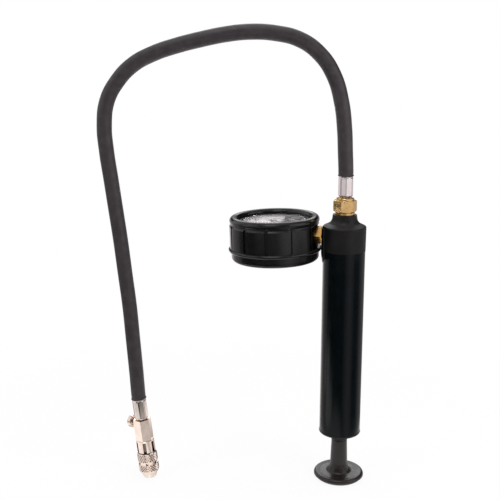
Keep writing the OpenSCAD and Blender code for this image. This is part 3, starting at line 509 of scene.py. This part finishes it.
class TESTER_OT_hose(bpy.types.Operator):
    """The black hose, one smooth curve between its two ferrules, with its pinched lips"""

    bl_idname = "tester.hose"
    bl_label = "Hose"

    straight = 6 * MM                # handle length where the hose leaves a ferrule
    lip_r = 0.5 * MM

    def centre_line(self, points, diameter):
        """The hose as a round curve through its points, straight at both ends."""
        curve = bpy.data.curves.new("hose_line", "CURVE")
        curve.dimensions = "3D"
        curve.bevel_depth = diameter / 2
        curve.bevel_resolution = 6
        curve.resolution_u = 8
        curve.use_fill_caps = True
        spline = curve.splines.new("BEZIER")
        spline.bezier_points.add(len(points) - 1)
        for knot, point in zip(spline.bezier_points, points):
            knot.co = point
            knot.handle_left_type = knot.handle_right_type = "AUTO"
        up = Vector((0, 0, 1))
        into_coupler = -(COUPLER.to_3x3() @ up).normalized()
        for knot, direction in ((spline.bezier_points[0], up),
                                (spline.bezier_points[-1], into_coupler)):
            knot.handle_left_type = knot.handle_right_type = "FREE"
            knot.handle_left = knot.co - direction * self.straight
            knot.handle_right = knot.co + direction * self.straight
        hose = bpy.data.objects.new("hose_run", curve)
        bpy.context.scene.collection.objects.link(hose)
        return hose

    def pinched_lip(self, sizes):
        """The ring of rubber that bulges at a ferrule, with its underside pressed flatter."""
        bpy.ops.object.select_all(action="DESELECT")
        bpy.ops.mesh.primitive_torus_add(
            major_radius=sizes.hose_diameter / 2 + sizes.hose_lip - self.lip_r,
            minor_radius=self.lip_r, major_segments=64, minor_segments=14)
        lip = named("hose_lip_top")
        bpy.ops.object.mode_set(mode="EDIT")
        select_points(lip, lambda co: co.z < -0.2 * self.lip_r)
        bpy.ops.transform.resize(value=(1, 1, 0.8), center_override=(0, 0, 0))
        bpy.ops.object.mode_set(mode="OBJECT")
        bpy.ops.object.shade_smooth()
        return lip

    def execute(self, context):
        sizes, colours = context.scene.tester_sizes, context.scene.tester_colours
        end = COUPLER @ Vector((0, 0, COUPLER_END))
        points = [Vector(p) * MM for p in [HOSE_EXIT] + HOSE_ROUTE] + [end]
        hose = self.centre_line(points, sizes.hose_diameter)
        rubber = Finish("hose_satin_rubber", Specular_IOR_Level=0.42)
        rubber.tones(tuple(colours.rubber), 0.16, 160.0, dust=0.10)
        rubber.gloss(0.38, 0.52, 240.0)
        rubber.bump("grain", 0.25, 0.15 * MM, Scale=1800.0, Waves=220.0)
        hose.data.materials.append(rubber.material)
        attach(hose, "pump")
        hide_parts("hose")

        top = self.pinched_lip(sizes)
        top.data.materials.append(rubber.material)
        bottom = copied(top, "hose_lip_bottom",
                        COUPLER @ Matrix.Translation((0, 0, COUPLER_END + self.lip_r)))
        settle(top, Matrix.Translation((0, 0, HOSE_EXIT[2] * MM + self.lip_r)))
        lips = [top, bottom]
        for lip in lips:
            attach(lip, "pump")

        nodes = frame["nodes"]
        on_the_hose = [nodes[n] for n in frame["record"]["physics"]["cord_nodes"]
                       if n not in ("hose", "coupler_sleeve")]
        on_the_hose += lips + [bpy.data.objects["sleeve_knurled"]]
        return {"FINISHED"}


class TESTER_OT_sleeve(bpy.types.Operator):
    """The coupler's sliding sleeve, with two diamond-knurled bands and a groove of holes"""

    bl_idname = "tester.sleeve"
    bl_label = "Knurled sleeve"

    # Levels along the coupler's axis and radii about it, in millimetres
    low, groove_low, groove_high, high = 4.2, 13.6, 15.2, 24.2
    bore_r, pocket_r, groove_r, rim_r, crest_r = 6.9, 8.05, 8.15, 8.3, 9.1
    band_rows = 6
    drill_count, drill_r, drill_out = 6, 1.15, 8    # drill_out is the drills' middle

    def band(self, start, stop, radius):
        """Rings of one knurled band, a row of diamonds apart."""
        step = (stop - start) / self.band_rows
        return [(radius, start + i * step) for i in range(self.band_rows + 1)]

    def drill(self):
        """The round drills that make the groove's holes, as one piece."""
        bpy.ops.object.select_all(action="DESELECT")
        bpy.ops.mesh.primitive_cylinder_add(
            vertices=24, radius=self.drill_r * MM, depth=4 * MM,
            location=(0, -self.drill_out * MM, (self.groove_low + self.groove_high) / 2 * MM),
            rotation=(0, math.pi / 2, -math.pi / 2))
        drill = named("drill")
        settle(drill, Matrix())
        turns = [math.tau * i / self.drill_count for i in range(1, self.drill_count)]
        others = [copied(drill, "drill", Matrix.Rotation(turn, 4, "Z")) for turn in turns]
        return joined("drill", [drill] + others)

    def execute(self, context):
        sizes, colours = context.scene.tester_sizes, context.scene.tester_colours
        count = 2 * sizes.knurl_count
        floor = self.crest_r - sizes.knurl_depth / MM
        lower = self.band(self.low + 2.1, self.groove_low - 0.1, floor)
        upper = self.band(self.groove_high + 0.1, self.high - 0.5, floor)
        rounding = [(self.bore_r, self.low), (7.2, self.low), (7.7, self.low + 0.4),
                    (8.2, self.low + 1.3)]
        groove = [(self.rim_r, self.groove_low), (self.groove_r, self.groove_low + 0.1),
                  (self.groove_r, self.groove_high - 0.1), (self.rim_r, self.groove_high)]
        inside = [(8.25, self.high), (self.pocket_r, self.high),
                  (self.pocket_r, self.groove_high + 0.2), (self.bore_r, self.groove_high + 0.2)]
        rings = rounding + lower + groove + upper + inside
        sleeve = turned_rings("sleeve_knurled", [(r * MM, z * MM) for r, z in rings], count)

        def is_crest(co):
            for rows in (lower, upper):
                start, step = rows[0][1], rows[1][1] - rows[0][1]
                row = (co.z / MM - start) / step
                inside_band = 0.5 < row < len(rows) - 1.5
                if inside_band and abs(math.hypot(co.x, co.y) / MM - floor) < 0.05:
                    turn = round(math.atan2(co.y, co.x) / math.tau * count)
                    return (turn + round(row)) % 2 == 0
            return False

        only(sleeve)
        bpy.ops.object.mode_set(mode="EDIT")
        select_points(sleeve, is_crest)
        grow = self.crest_r / floor
        bpy.ops.transform.resize(value=(grow, grow, 1), center_override=(0, 0, 0))
        bpy.ops.mesh.select_all(action="SELECT")
        bpy.ops.mesh.quads_convert_to_tris(quad_method="SHORTEST_DIAGONAL")
        bpy.ops.object.mode_set(mode="OBJECT")
        drill = self.drill()
        apply_modifier(sleeve, "BOOLEAN", object=drill, operation="DIFFERENCE", solver="EXACT")
        bpy.data.objects.remove(drill)
        only(sleeve)
        bpy.ops.object.shade_smooth_by_angle(angle=math.radians(22))
        settle(sleeve, COUPLER)

        # the nickel tint includes a painted warm reflection
        plate = Finish("knurl_nickel", Metallic=1.0)
        plate.tones(tuple(colours.nickel), 0.08, 400.0)
        # painted shade in the groove and its holes
        plate.recess(self.pocket_r * MM, (self.groove_low + self.groove_high) / 2 * MM, 1.3 * MM)
        plate.gloss(0.10, 0.2, 500.0)
        plate.bump("grain", 0.12, 0.05 * MM, Scale=3000.0, Waves=500.0)
        sleeve.data.materials.append(plate.material)
        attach(sleeve, "sleeve")
        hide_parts("coupler_sleeve")
        return {"FINISHED"}


class TESTER_OT_dial_print(bpy.types.Operator):
    """The dial's printing: a plain dark field by the stem, ticks and plain figures"""

    bl_idname = "tester.dial_print"
    bl_label = "Dial printing"

    ink_height = 0.06 * MM
    field_r, field_edge = 26.4 * MM, 5.8 * MM    # the dark field, and its straight edge
    scale_r, figure_r = 25.9 * MM, 18.6 * MM     # the ticks' outer ends, the figures' middles
    figures = ("0", "0.5", "1", "1.5", "2", "2.5")
    ticks_per_figure = 10

    def tick(self, angle, length, width):
        bpy.ops.object.select_all(action="DESELECT")
        bpy.ops.mesh.primitive_plane_add(size=1, location=(0, 0, 0))
        mark = named("tick")
        bpy.ops.object.mode_set(mode="EDIT")
        bpy.ops.mesh.select_all(action="SELECT")
        bpy.ops.transform.resize(value=(length, width, 1), center_override=(0, 0, 0))
        bpy.ops.transform.translate(value=(self.scale_r - length / 2, 0, 0))
        bpy.ops.object.mode_set(mode="OBJECT")
        settle(mark, Matrix.Rotation(angle, 4, "Z"))
        return mark

    def figure(self, text, x, y, height):
        bpy.ops.object.select_all(action="DESELECT")
        bpy.ops.object.text_add()
        mark = bpy.context.object
        mark.data.body = text
        mark.data.size = height * 1.35
        mark.data.align_x, mark.data.align_y = "CENTER", "CENTER"
        mark.data.offset = 0.06 * MM
        mark.data.resolution_u = 6
        bpy.ops.object.convert(target="MESH")
        mark = named("figure")
        settle(mark, Matrix.Translation((x, y, 0)) @ Matrix.Rotation(math.radians(90), 4, "Z"))
        return mark

    def dark_field(self):
        bpy.ops.object.select_all(action="DESELECT")
        bpy.ops.mesh.primitive_circle_add(vertices=120, radius=self.field_r, fill_type="NGON")
        field = named("dial_field")
        bpy.ops.object.mode_set(mode="EDIT")
        bpy.ops.mesh.select_all(action="SELECT")
        bpy.ops.mesh.bisect(
            plane_co=(self.field_edge, 0, 0), plane_no=(1, 0, 0), clear_inner=True)
        bpy.ops.object.mode_set(mode="OBJECT")
        return field

    def lay(self, mark, level, finish):
        """Gives flat printing its thickness, and lays it on the dial."""
        apply_modifier(mark, "SOLIDIFY", thickness=self.ink_height, offset=1.0)
        settle(mark, GAUGE @ Matrix.Translation((0, 0, DIAL_TOP + level)))
        mark.data.materials.clear()
        mark.data.materials.append(finish.material)
        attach(mark, "pump")

    def execute(self, context):
        sizes = context.scene.tester_sizes
        dark = Finish("dial_dark_ink", Specular_IOR_Level=0.04)
        dark.tones((0.012, 0.012, 0.011), 0.2, 300.0).gloss(0.45, 0.6)
        pale = Finish("dial_white_ink", Specular_IOR_Level=0.04)
        pale.tones((0.80, 0.77, 0.77), 0.05, 300.0).gloss(0.45, 0.6)
        self.lay(self.dark_field(), 0.0, dark)

        on_white, on_dark = [], []

        def angle_at(share):
            return math.radians(SCALE_START + SCALE_SWEEP * share)

        spans = len(self.figures) - 1
        ticks = spans * self.ticks_per_figure
        for i in range(ticks + 1):
            angle = angle_at(i / ticks)
            major, half = i % self.ticks_per_figure == 0, i % (self.ticks_per_figure // 2) == 0
            length = sizes.tick_length * (1 if major else 0.75 if half else 0.5)
            mark = self.tick(angle, length, (0.55 if major else 0.28) * MM)
            inside = (self.scale_r - length) * math.cos(angle) > self.field_edge
            (on_dark if inside else on_white).append(mark)
        for i, text in enumerate(self.figures):
            angle = angle_at(i / spans)
            x, y = self.figure_r * math.cos(angle), self.figure_r * math.sin(angle)
            mark = self.figure(text, x, y, sizes.figure_height)
            (on_dark if x > self.field_edge else on_white).append(mark)
        on_dark.append(self.figure("1.6", 17.5 * MM, 0, sizes.figure_height * 1.1))
        self.lay(joined("dial_marks_dark", on_white), 0.0, dark)
        self.lay(joined("dial_marks_white", on_dark), self.ink_height, pale)

        # the plate's colour carries painted shade: it is darker than its real white to make up
        # for the strong lamps
        plate = Finish("dial_plate_paint", Specular_IOR_Level=0.04)
        plate.tones(tuple(context.scene.tester_colours.dial), 0.03, 200.0).gloss(0.4, 0.5)
        plate.bump("grain", 0.05, 0.05 * MM)
        wear(plate, "dial")
        return {"FINISHED"}


class TESTER_OT_black_parts(bpy.types.Operator):
    """Finishes of the moulded, painted and rubber parts"""

    bl_idname = "tester.black_parts"
    bl_label = "Black parts"

    def execute(self, context):
        colours = context.scene.tester_colours
        plastic = tuple(colours.plastic)

        handle = Finish("handle_moulded_plastic", Specular_IOR_Level=0.46)
        handle.tones(tuple(c * f for c, f in zip(plastic, (1.9, 1.4, 1.4))), 0.12, 70.0,
                     dust=0.06)
        handle.gloss(0.26, 0.36, 150.0)
        handle.bump("grain", 0.12, 0.1 * MM, Scale=1500.0, Waves=90.0)
        wear(handle, "handle")

        barrel = Finish("barrel_gloss_paint", Specular_IOR_Level=0.28)
        barrel.tones(tuple(colours.paint), 0.1, 60.0)
        barrel.gloss(0.15, 0.24, 90.0)
        barrel.bump("grain", 0.05, 0.15 * MM, Scale=500.0, Waves=160.0)
        wear(barrel, "barrel")

        head = Finish("head_satin_plastic", Specular_IOR_Level=0.30)
        head.tones(plastic, 0.12, 80.0, dust=0.06)
        head.gloss(0.40, 0.52, 120.0)
        head.bump("grain", 0.3, 0.06 * MM, Scale=2600.0, Waves=150.0)
        wear(head, "head_cap")

        cap = Finish("end_cap_plastic", Specular_IOR_Level=0.4)
        cap.tones(plastic, 0.12, 100.0, dust=0.05)
        cap.gloss(0.38, 0.5)
        cap.bump("grain", 0.2, 0.06 * MM)
        wear(cap, "barrel_end_cap")

        boot = Finish("boot_gloss_rubber", Specular_IOR_Level=0.5)
        boot.tones(tuple(colours.boot), 0.15, 90.0, dust=0.03)
        boot.gloss(0.17, 0.25, 140.0)
        boot.bump("grain", 0.04, 0.10 * MM, Scale=500.0, Waves=110.0)
        wear(boot, "gauge_boot")

        bezel = Finish("bezel_gloss_plastic", Specular_IOR_Level=0.5)
        bezel.tones(plastic, 0.1).gloss(0.18, 0.28)
        wear(bezel, "gauge_bezel")

        case = Finish("case_black_paint", Specular_IOR_Level=0.4)
        case.tones((0.012, 0.012, 0.012), 0.15).gloss(0.35, 0.45)
        case.bump("grain", 0.15, 0.05 * MM, Scale=3000.0)
        wear(case, "gauge_case")

        needle = Finish("pointer_black_paint", Specular_IOR_Level=0.1)
        needle.tones((0.010, 0.010, 0.010), 0.15).gloss(0.3, 0.4)
        wear(needle, "pointer")

        seal = Finish("seal_plain_rubber", Specular_IOR_Level=0.3)
        seal.tones((0.02, 0.02, 0.02), 0.2).gloss(0.6, 0.75)
        seal.bump("grain", 0.3, 0.05 * MM)
        wear(seal, "cup_seal", "head_seal", "valve_seat", "coupler_seal")

        nylon = Finish("piston_natural_nylon", Subsurface_Weight=0.1, Specular_IOR_Level=0.4)
        nylon.tones((0.62, 0.60, 0.53), 0.05).gloss(0.4, 0.5)
        nylon.bump("grain", 0.15, 0.05 * MM)
        wear(nylon, "piston")
        return {"FINISHED"}


class TESTER_OT_metal_parts(bpy.types.Operator):
    """Finishes of the brass, plated and steel parts"""

    bl_idname = "tester.metal_parts"
    bl_label = "Metal parts"

    def execute(self, context):
        colours = context.scene.tester_colours
        brass, nickel = tuple(colours.brass), tuple(colours.nickel)

        def metal(name, colour, smooth, worn, *node_names, squeeze=(1, 1, 12), strength=0.12,
                  spread=0.06):
            finish = Finish(name, Metallic=1.0)
            finish.tones(colour, spread, 260.0)
            finish.gloss(smooth, worn, 300.0)
            finish.bump("lines", strength, 0.03 * MM, finish.stretched(squeeze), Scale=700.0)
            wear(finish, *node_names)
            return finish

        metal("nut_turned_brass", brass, 0.14, 0.26, "swivel_nut", "outlet_nipple",
              strength=0.10, spread=0.08)
        metal("stem_turned_brass", tuple(c * f for c, f in zip(brass, (1.0, 0.86, 0.66))),
              0.16, 0.28, "gauge_stem", squeeze=(12, 1, 1), spread=0.12)
        metal("movement_stamped_brass", (0.72, 0.52, 0.25), 0.28, 0.4, "bourdon_tube",
              "movement_frame", "sector_gear", "pinion_arbor", "movement_link",
              "depressor_pin")
        metal("ferrule_polished_chrome", (0.80, 0.74, 0.745), 0.06, 0.13, "ferrule_top",
              strength=0.03, spread=0.03)
        # the lower ferrule's warm tint is partly its plate's colour and partly a painted warm
        # reflection
        metal("ferrule_plate_warm_reflection", (0.74, 0.64, 0.58), 0.16, 0.24, "ferrule_bottom",
              strength=0.04, spread=0.05)
        # the nickel parts carry the same painted warm reflection in their tint
        metal("coupler_nickel_plate", nickel, 0.14, 0.24, "coupler_body", "bleed_gland",
              strength=0.08)
        # the collet's slots get painted shade through the recess effect
        metal("collet_nickel_plate", nickel, 0.14, 0.24, "coupler_collet",
              strength=0.08).recess(6.7 * MM, 24.2 * MM, 12 * MM)
        metal("bleed_knob_nickel", nickel, 0.18, 0.3, "bleed_knob", strength=0.10)
        metal("tail_plated_steel", (0.62, 0.60, 0.58), 0.2, 0.3, "hose_tail")
        metal("rod_bright_steel", (0.62, 0.62, 0.63), 0.12, 0.22, "piston_rod",
              squeeze=(12, 12, 1))
        metal("bush_sintered_bronze", (0.52, 0.34, 0.16), 0.4, 0.5, "rod_bush")
        metal("fastener_zinc_steel", (0.58, 0.58, 0.61), 0.25, 0.4, "piston_washer",
              "piston_nut", "dial_screws")
        metal("spring_bright_wire", (0.55, 0.55, 0.57), 0.18, 0.3, "valve_spring",
              "sleeve_spring")
        metal("ball_polished_steel", (0.72, 0.72, 0.73), 0.04, 0.08, "check_ball",
              strength=0.01)
        return {"FINISHED"}


class TESTER_OT_lens(bpy.types.Operator):
    """The clear lens over the dial"""

    bl_idname = "tester.lens"
    bl_label = "Lens"

    straight_share = 0.25            # of what is seen through it, unbent

    def execute(self, context):
        lens = Finish("lens_clear", Transmission_Weight=1.0, IOR=1.25)
        lens.tones((0.97, 0.97, 0.97), 0.01, 60.0)
        lens.gloss(0.015, 0.03, 200.0)
        tree = lens.tree
        # lamps shine straight through
        shadow = add_node(tree, "LightPath").outputs["Is Shadow Ray"]
        share = worked_out(tree, "MAXIMUM", shadow, self.straight_share)
        clear = add_node(tree, "BsdfTransparent").outputs[0]
        feed(tree, tree.nodes["Material Output"].inputs["Surface"],
             mixed_shaders(tree, share, lens.shader.outputs[0], clear))
        wear(lens, "gauge_lens")
        return {"FINISHED"}


class TESTER_OT_stage(bpy.types.Operator):
    """The camera, the pale floor, the white room and the softboxes"""

    bl_idname = "tester.stage"
    bl_label = "Stage"

    def softbox(self, name, place, aim, size, power, colour):
        data = bpy.data.lights.new(name, "AREA")
        data.shape = "RECTANGLE"
        data.size, data.size_y = size
        data.energy = power
        data.color = colour
        lamp = bpy.data.objects.new(name, data)
        bpy.context.scene.collection.objects.link(lamp)
        lamp.location = place
        lamp.rotation_euler = (Vector(aim) - Vector(place)).to_track_quat("-Z", "Y").to_euler()
        lamp.visible_camera = lamp.visible_glossy = False
        return lamp

    # What polished parts mirror, as (bearing, level): degrees to the right of the line to
    # the camera. On the floor it is dark in front, with a strip of light at the front
    # right and pale paper at the left and behind. Farther out the room is mostly white.
    NEAR = ((-180, 1.0), (-165, 1.5), (-145, 1.2), (-124, 0.5), (-95, 0.4), (-80, 0.01),
            (4, 0.01), (18, 0.25), (38, 0.5), (54, 0.28), (66, 0.03), (88, 0.06),
            (112, 0.4), (160, 0.35), (180, 0.8))
    FAR = ((-180, 0.9), (-125, 0.8), (-95, 0.4), (-75, 0.5), (-66, 0.15), (-50, 0.2),
           (-40, 0.8), (-15, 0.5), (12, 0.45), (22, 1.0), (100, 1.0), (120, 0.3),
           (145, 0.6), (180, 0.9))
    # Sheets of pale paper on the floor near the handle and the coupler, which polished
    # parts mirror too, as (centre, reach, level)
    PAPERS = (((0, 0.02, 0), 0.10, 0.9), ((-0.30, -0.01, 0), 0.07, 1.1),
              ((-0.185, -0.06, 0), 0.05, 1.0), ((-0.06, -0.10, 0), 0.05, 0.6))

    def studio_picture(self, name, stops):
        """A group that gives the picture's colour in the direction of a place."""
        group, given, result = shader_group(name, "Color", COLOUR)
        inputs = {"Vector": given["Place"], "Scale": (1, -1, 1),
                  "Rotation": (0, 0, -CAMERA_BEARING)}
        turned = add_node(group, "Mapping", inputs).outputs["Vector"]
        part = add_node(group, "SeparateXYZ", {0: turned}).outputs
        bearing = worked_out(group, "ARCTAN2", part["X"], part["Y"])
        ramp = add_node(group, "ValToRGB", {"Fac": ranged(group, bearing, -math.pi, math.pi)})
        elements = ramp.color_ramp.elements
        for _ in stops[2:]:
            elements.new(0.5)
        for element, (angle, level) in zip(elements, stops):
            element.position = angle / 360 + 0.5
            element.color = (level, level * 0.94, level * 0.95, 1)
        feed(group, result, ramp.outputs["Color"])
        return group

    def seen_plainly(self, tree, path):
        """One for rays from the camera, straight or through the lens."""
        return worked_out(tree, "MAXIMUM", path["Is Camera Ray"], path["Is Transmission Ray"])

    def lighter(self, tree, colour, fade, level):
        """A colour, or the faded grey of a level where that is lighter."""
        grey = worked_out(tree, "MULTIPLY", fade, level)
        return mixed(tree, 1.0, colour, grey, blend_type="LIGHTEN")

    def white_room(self, stage, picture):
        world = bpy.data.worlds.new("white_room")
        bpy.context.scene.world = world
        world.use_nodes = True
        tree = world.node_tree
        tree.nodes.clear()
        place = add_node(tree, "TexCoord").outputs["Generated"]
        # the picture stands on the horizon
        height = add_node(tree, "SeparateXYZ", {0: place}).outputs["Z"]
        round_about = add_node(tree, "Group", {"Place": place}, node_tree=picture).outputs[0]
        inputs = {0: round_about, "Scale": faded(tree, height, 0.04, 0.12)}
        seen = add_node(tree, "VectorMath", inputs, operation="SCALE").outputs[0]
        # a broad light overhead, a strong one behind above the lens's reflection, a small
        # one high in front, and softer ones at the left, at the right and in front
        for direction, reach, strength in (
            ((0, 0.15, 0.99), 0.95, stage.overhead),
            ((0, 0.82, 0.57), 0.42, stage.back_light),
            ((-0.15, -0.30, 0.94), 0.30, stage.back_light),
            ((-0.92, 0.10, 0.38), 0.85, 0.9),
            ((0.80, -0.40, 0.45), 0.45, 1.2),
            ((-0.20, -0.75, 0.63), 0.35, 0.6),
        ):
            fade = faded(tree, distance(tree, place, direction), 0.7 * reach, reach)
            seen = self.lighter(tree, seen, fade, strength)
        fill, mirrored, white = (add_node(tree, "Background", inputs).outputs[0] for inputs in (
            {"Color": (1.0, 0.97, 0.975, 1), "Strength": stage.ambient},
            {"Color": seen}, {"Color": (1, 1, 1, 1)}))
        path = add_node(tree, "LightPath").outputs
        room = mixed_shaders(tree, path["Is Glossy Ray"], fill, mirrored)
        room = mixed_shaders(tree, self.seen_plainly(tree, path), room, white)
        feed(tree, add_node(tree, "OutputWorld").inputs["Surface"], room)

    def pale_floor(self, near, far):
        bpy.ops.object.select_all(action="DESELECT")
        bpy.ops.mesh.primitive_circle_add(vertices=96, radius=12, fill_type="NGON")
        floor = named("floor")
        bpy.ops.object.mode_set(mode="EDIT")
        bpy.ops.mesh.select_all(action="SELECT")
        bpy.ops.mesh.inset(thickness=10)
        bpy.ops.object.mode_set(mode="OBJECT")
        material = bpy.data.materials.new("floor_paper")
        material.use_nodes = True
        tree = material.node_tree
        tree.nodes.clear()
        place = add_node(tree, "TexCoord").outputs["Object"]
        path = add_node(tree, "LightPath").outputs
        fibre = add_node(tree, "TexNoise", {"Vector": place, "Scale": 40.0}).outputs["Fac"]
        tone = ranged(tree, fibre, 0.0, 1.0, 0.88, 0.92)
        paper = add_node(tree, "BsdfDiffuse", {"Color": tone}).outputs[0]
        # the camera sees white paper, with the soft shadow near the tester alone
        close = faded(tree, distance(tree, place, (-0.085, 0.0, 0)), 0.20, 0.45)
        share = ranged(tree, close, 0.0, 1.0, 1.0, 0.92)
        plainly = worked_out(tree, "MULTIPLY", share, self.seen_plainly(tree, path))
        seen_near, seen_far = (
            add_node(tree, "Group", {"Place": place}, node_tree=picture).outputs[0]
            for picture in (near, far))
        nearby = faded(tree, distance(tree, place, (0, 0, 0)), 1.15, 1.35)
        seen = mixed(tree, nearby, seen_far, seen_near)
        for centre, reach, level in self.PAPERS:
            fade = faded(tree, distance(tree, place, centre), reach, reach + 0.04)
            seen = self.lighter(tree, seen, fade, level)
        mirrored = add_node(tree, "Emission", {"Color": seen}).outputs[0]
        glow = add_node(tree, "Emission").outputs[0]
        surface = mixed_shaders(tree, plainly, paper, glow)
        surface = mixed_shaders(tree, path["Is Glossy Ray"], surface, mirrored)
        feed(tree, add_node(tree, "OutputMaterial").inputs["Surface"], surface)
        floor.data.materials.append(material)

    def execute(self, context):
        stage = context.scene.tester_stage
        data = bpy.data.cameras.new("camera")
        data.lens = stage.focal_length
        data.sensor_width = 36
        data.sensor_fit = "HORIZONTAL"
        camera = bpy.data.objects.new("camera", data)
        context.scene.collection.objects.link(camera)
        camera.location = stage.camera_place
        camera.rotation_euler = (stage.camera_tilt, 0, 0)
        context.scene.camera = camera
        context.scene.view_settings.view_transform = "Standard"
        near = self.studio_picture("Near Picture", self.NEAR)
        far = self.studio_picture("Far Picture", self.FAR)
        self.white_room(stage, far)
        self.pale_floor(near, far)
        warm, plain = (1.0, 0.955, 0.95), (1.0, 0.97, 0.975)
        self.softbox("softbox_right", (0.50, -0.52, 0.34), (0.0, 0, 0.16), (0.42, 0.66),
                     stage.right_power, plain)
        self.softbox("softbox_left", (-0.78, -0.42, 0.40), (-0.1, 0, 0.15), (0.35, 0.6),
                     stage.left_power, warm)
        self.softbox("softbox_top", (-0.05, 0.10, 1.05), (-0.08, 0, 0.2), (0.8, 0.6),
                     stage.top_power, plain)
        self.softbox("lamp_dial", GAUGE @ Vector((0, 0, 0.13)), GAUGE.translation,
                     (0.05, 0.05), stage.dial_power, plain)
        return {"FINISHED"}


class TESTER_PT_panel(bpy.types.Panel):
    """Lists the tester's pieces in the sidebar"""

    bl_idname = "TESTER_PT_panel"
    bl_label = "Pressure tester"
    bl_space_type = "VIEW_3D"
    bl_region_type = "UI"
    bl_category = "Tester"

    def draw(self, context):
        for group in ("tester_sizes", "tester_colours", "tester_stage"):
            box = self.layout.box()
            settings = getattr(context.scene, group)
            for name in settings.__annotations__:
                box.prop(settings, name)
        for operator in OPERATORS:
            self.layout.operator(operator.bl_idname)


GROUPS = (TesterSizes, TesterColours, TesterStage)
OPERATORS = (TESTER_OT_stage, TESTER_OT_sleeve, TESTER_OT_hose, TESTER_OT_dial_print,
             TESTER_OT_black_parts, TESTER_OT_metal_parts, TESTER_OT_lens)


def register():
    for item in GROUPS + OPERATORS + (TESTER_PT_panel,):
        bpy.utils.register_class(item)
    bpy.types.Scene.tester_sizes = PointerProperty(type=TesterSizes)
    bpy.types.Scene.tester_colours = PointerProperty(type=TesterColours)
    bpy.types.Scene.tester_stage = PointerProperty(type=TesterStage)


def unregister():
    for name in ("tester_sizes", "tester_colours", "tester_stage"):
        delattr(bpy.types.Scene, name)
    for item in reversed(GROUPS + OPERATORS + (TESTER_PT_panel,)):
        bpy.utils.unregister_class(item)


def main():
    """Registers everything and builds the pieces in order."""
    register()
    bpy.ops.tester.stage()
    bpy.ops.tester.sleeve()
    bpy.ops.tester.hose()
    bpy.ops.tester.dial_print()
    bpy.ops.tester.black_parts()
    bpy.ops.tester.metal_parts()
    bpy.ops.tester.lens()


if __name__ == "__main__":
    main()
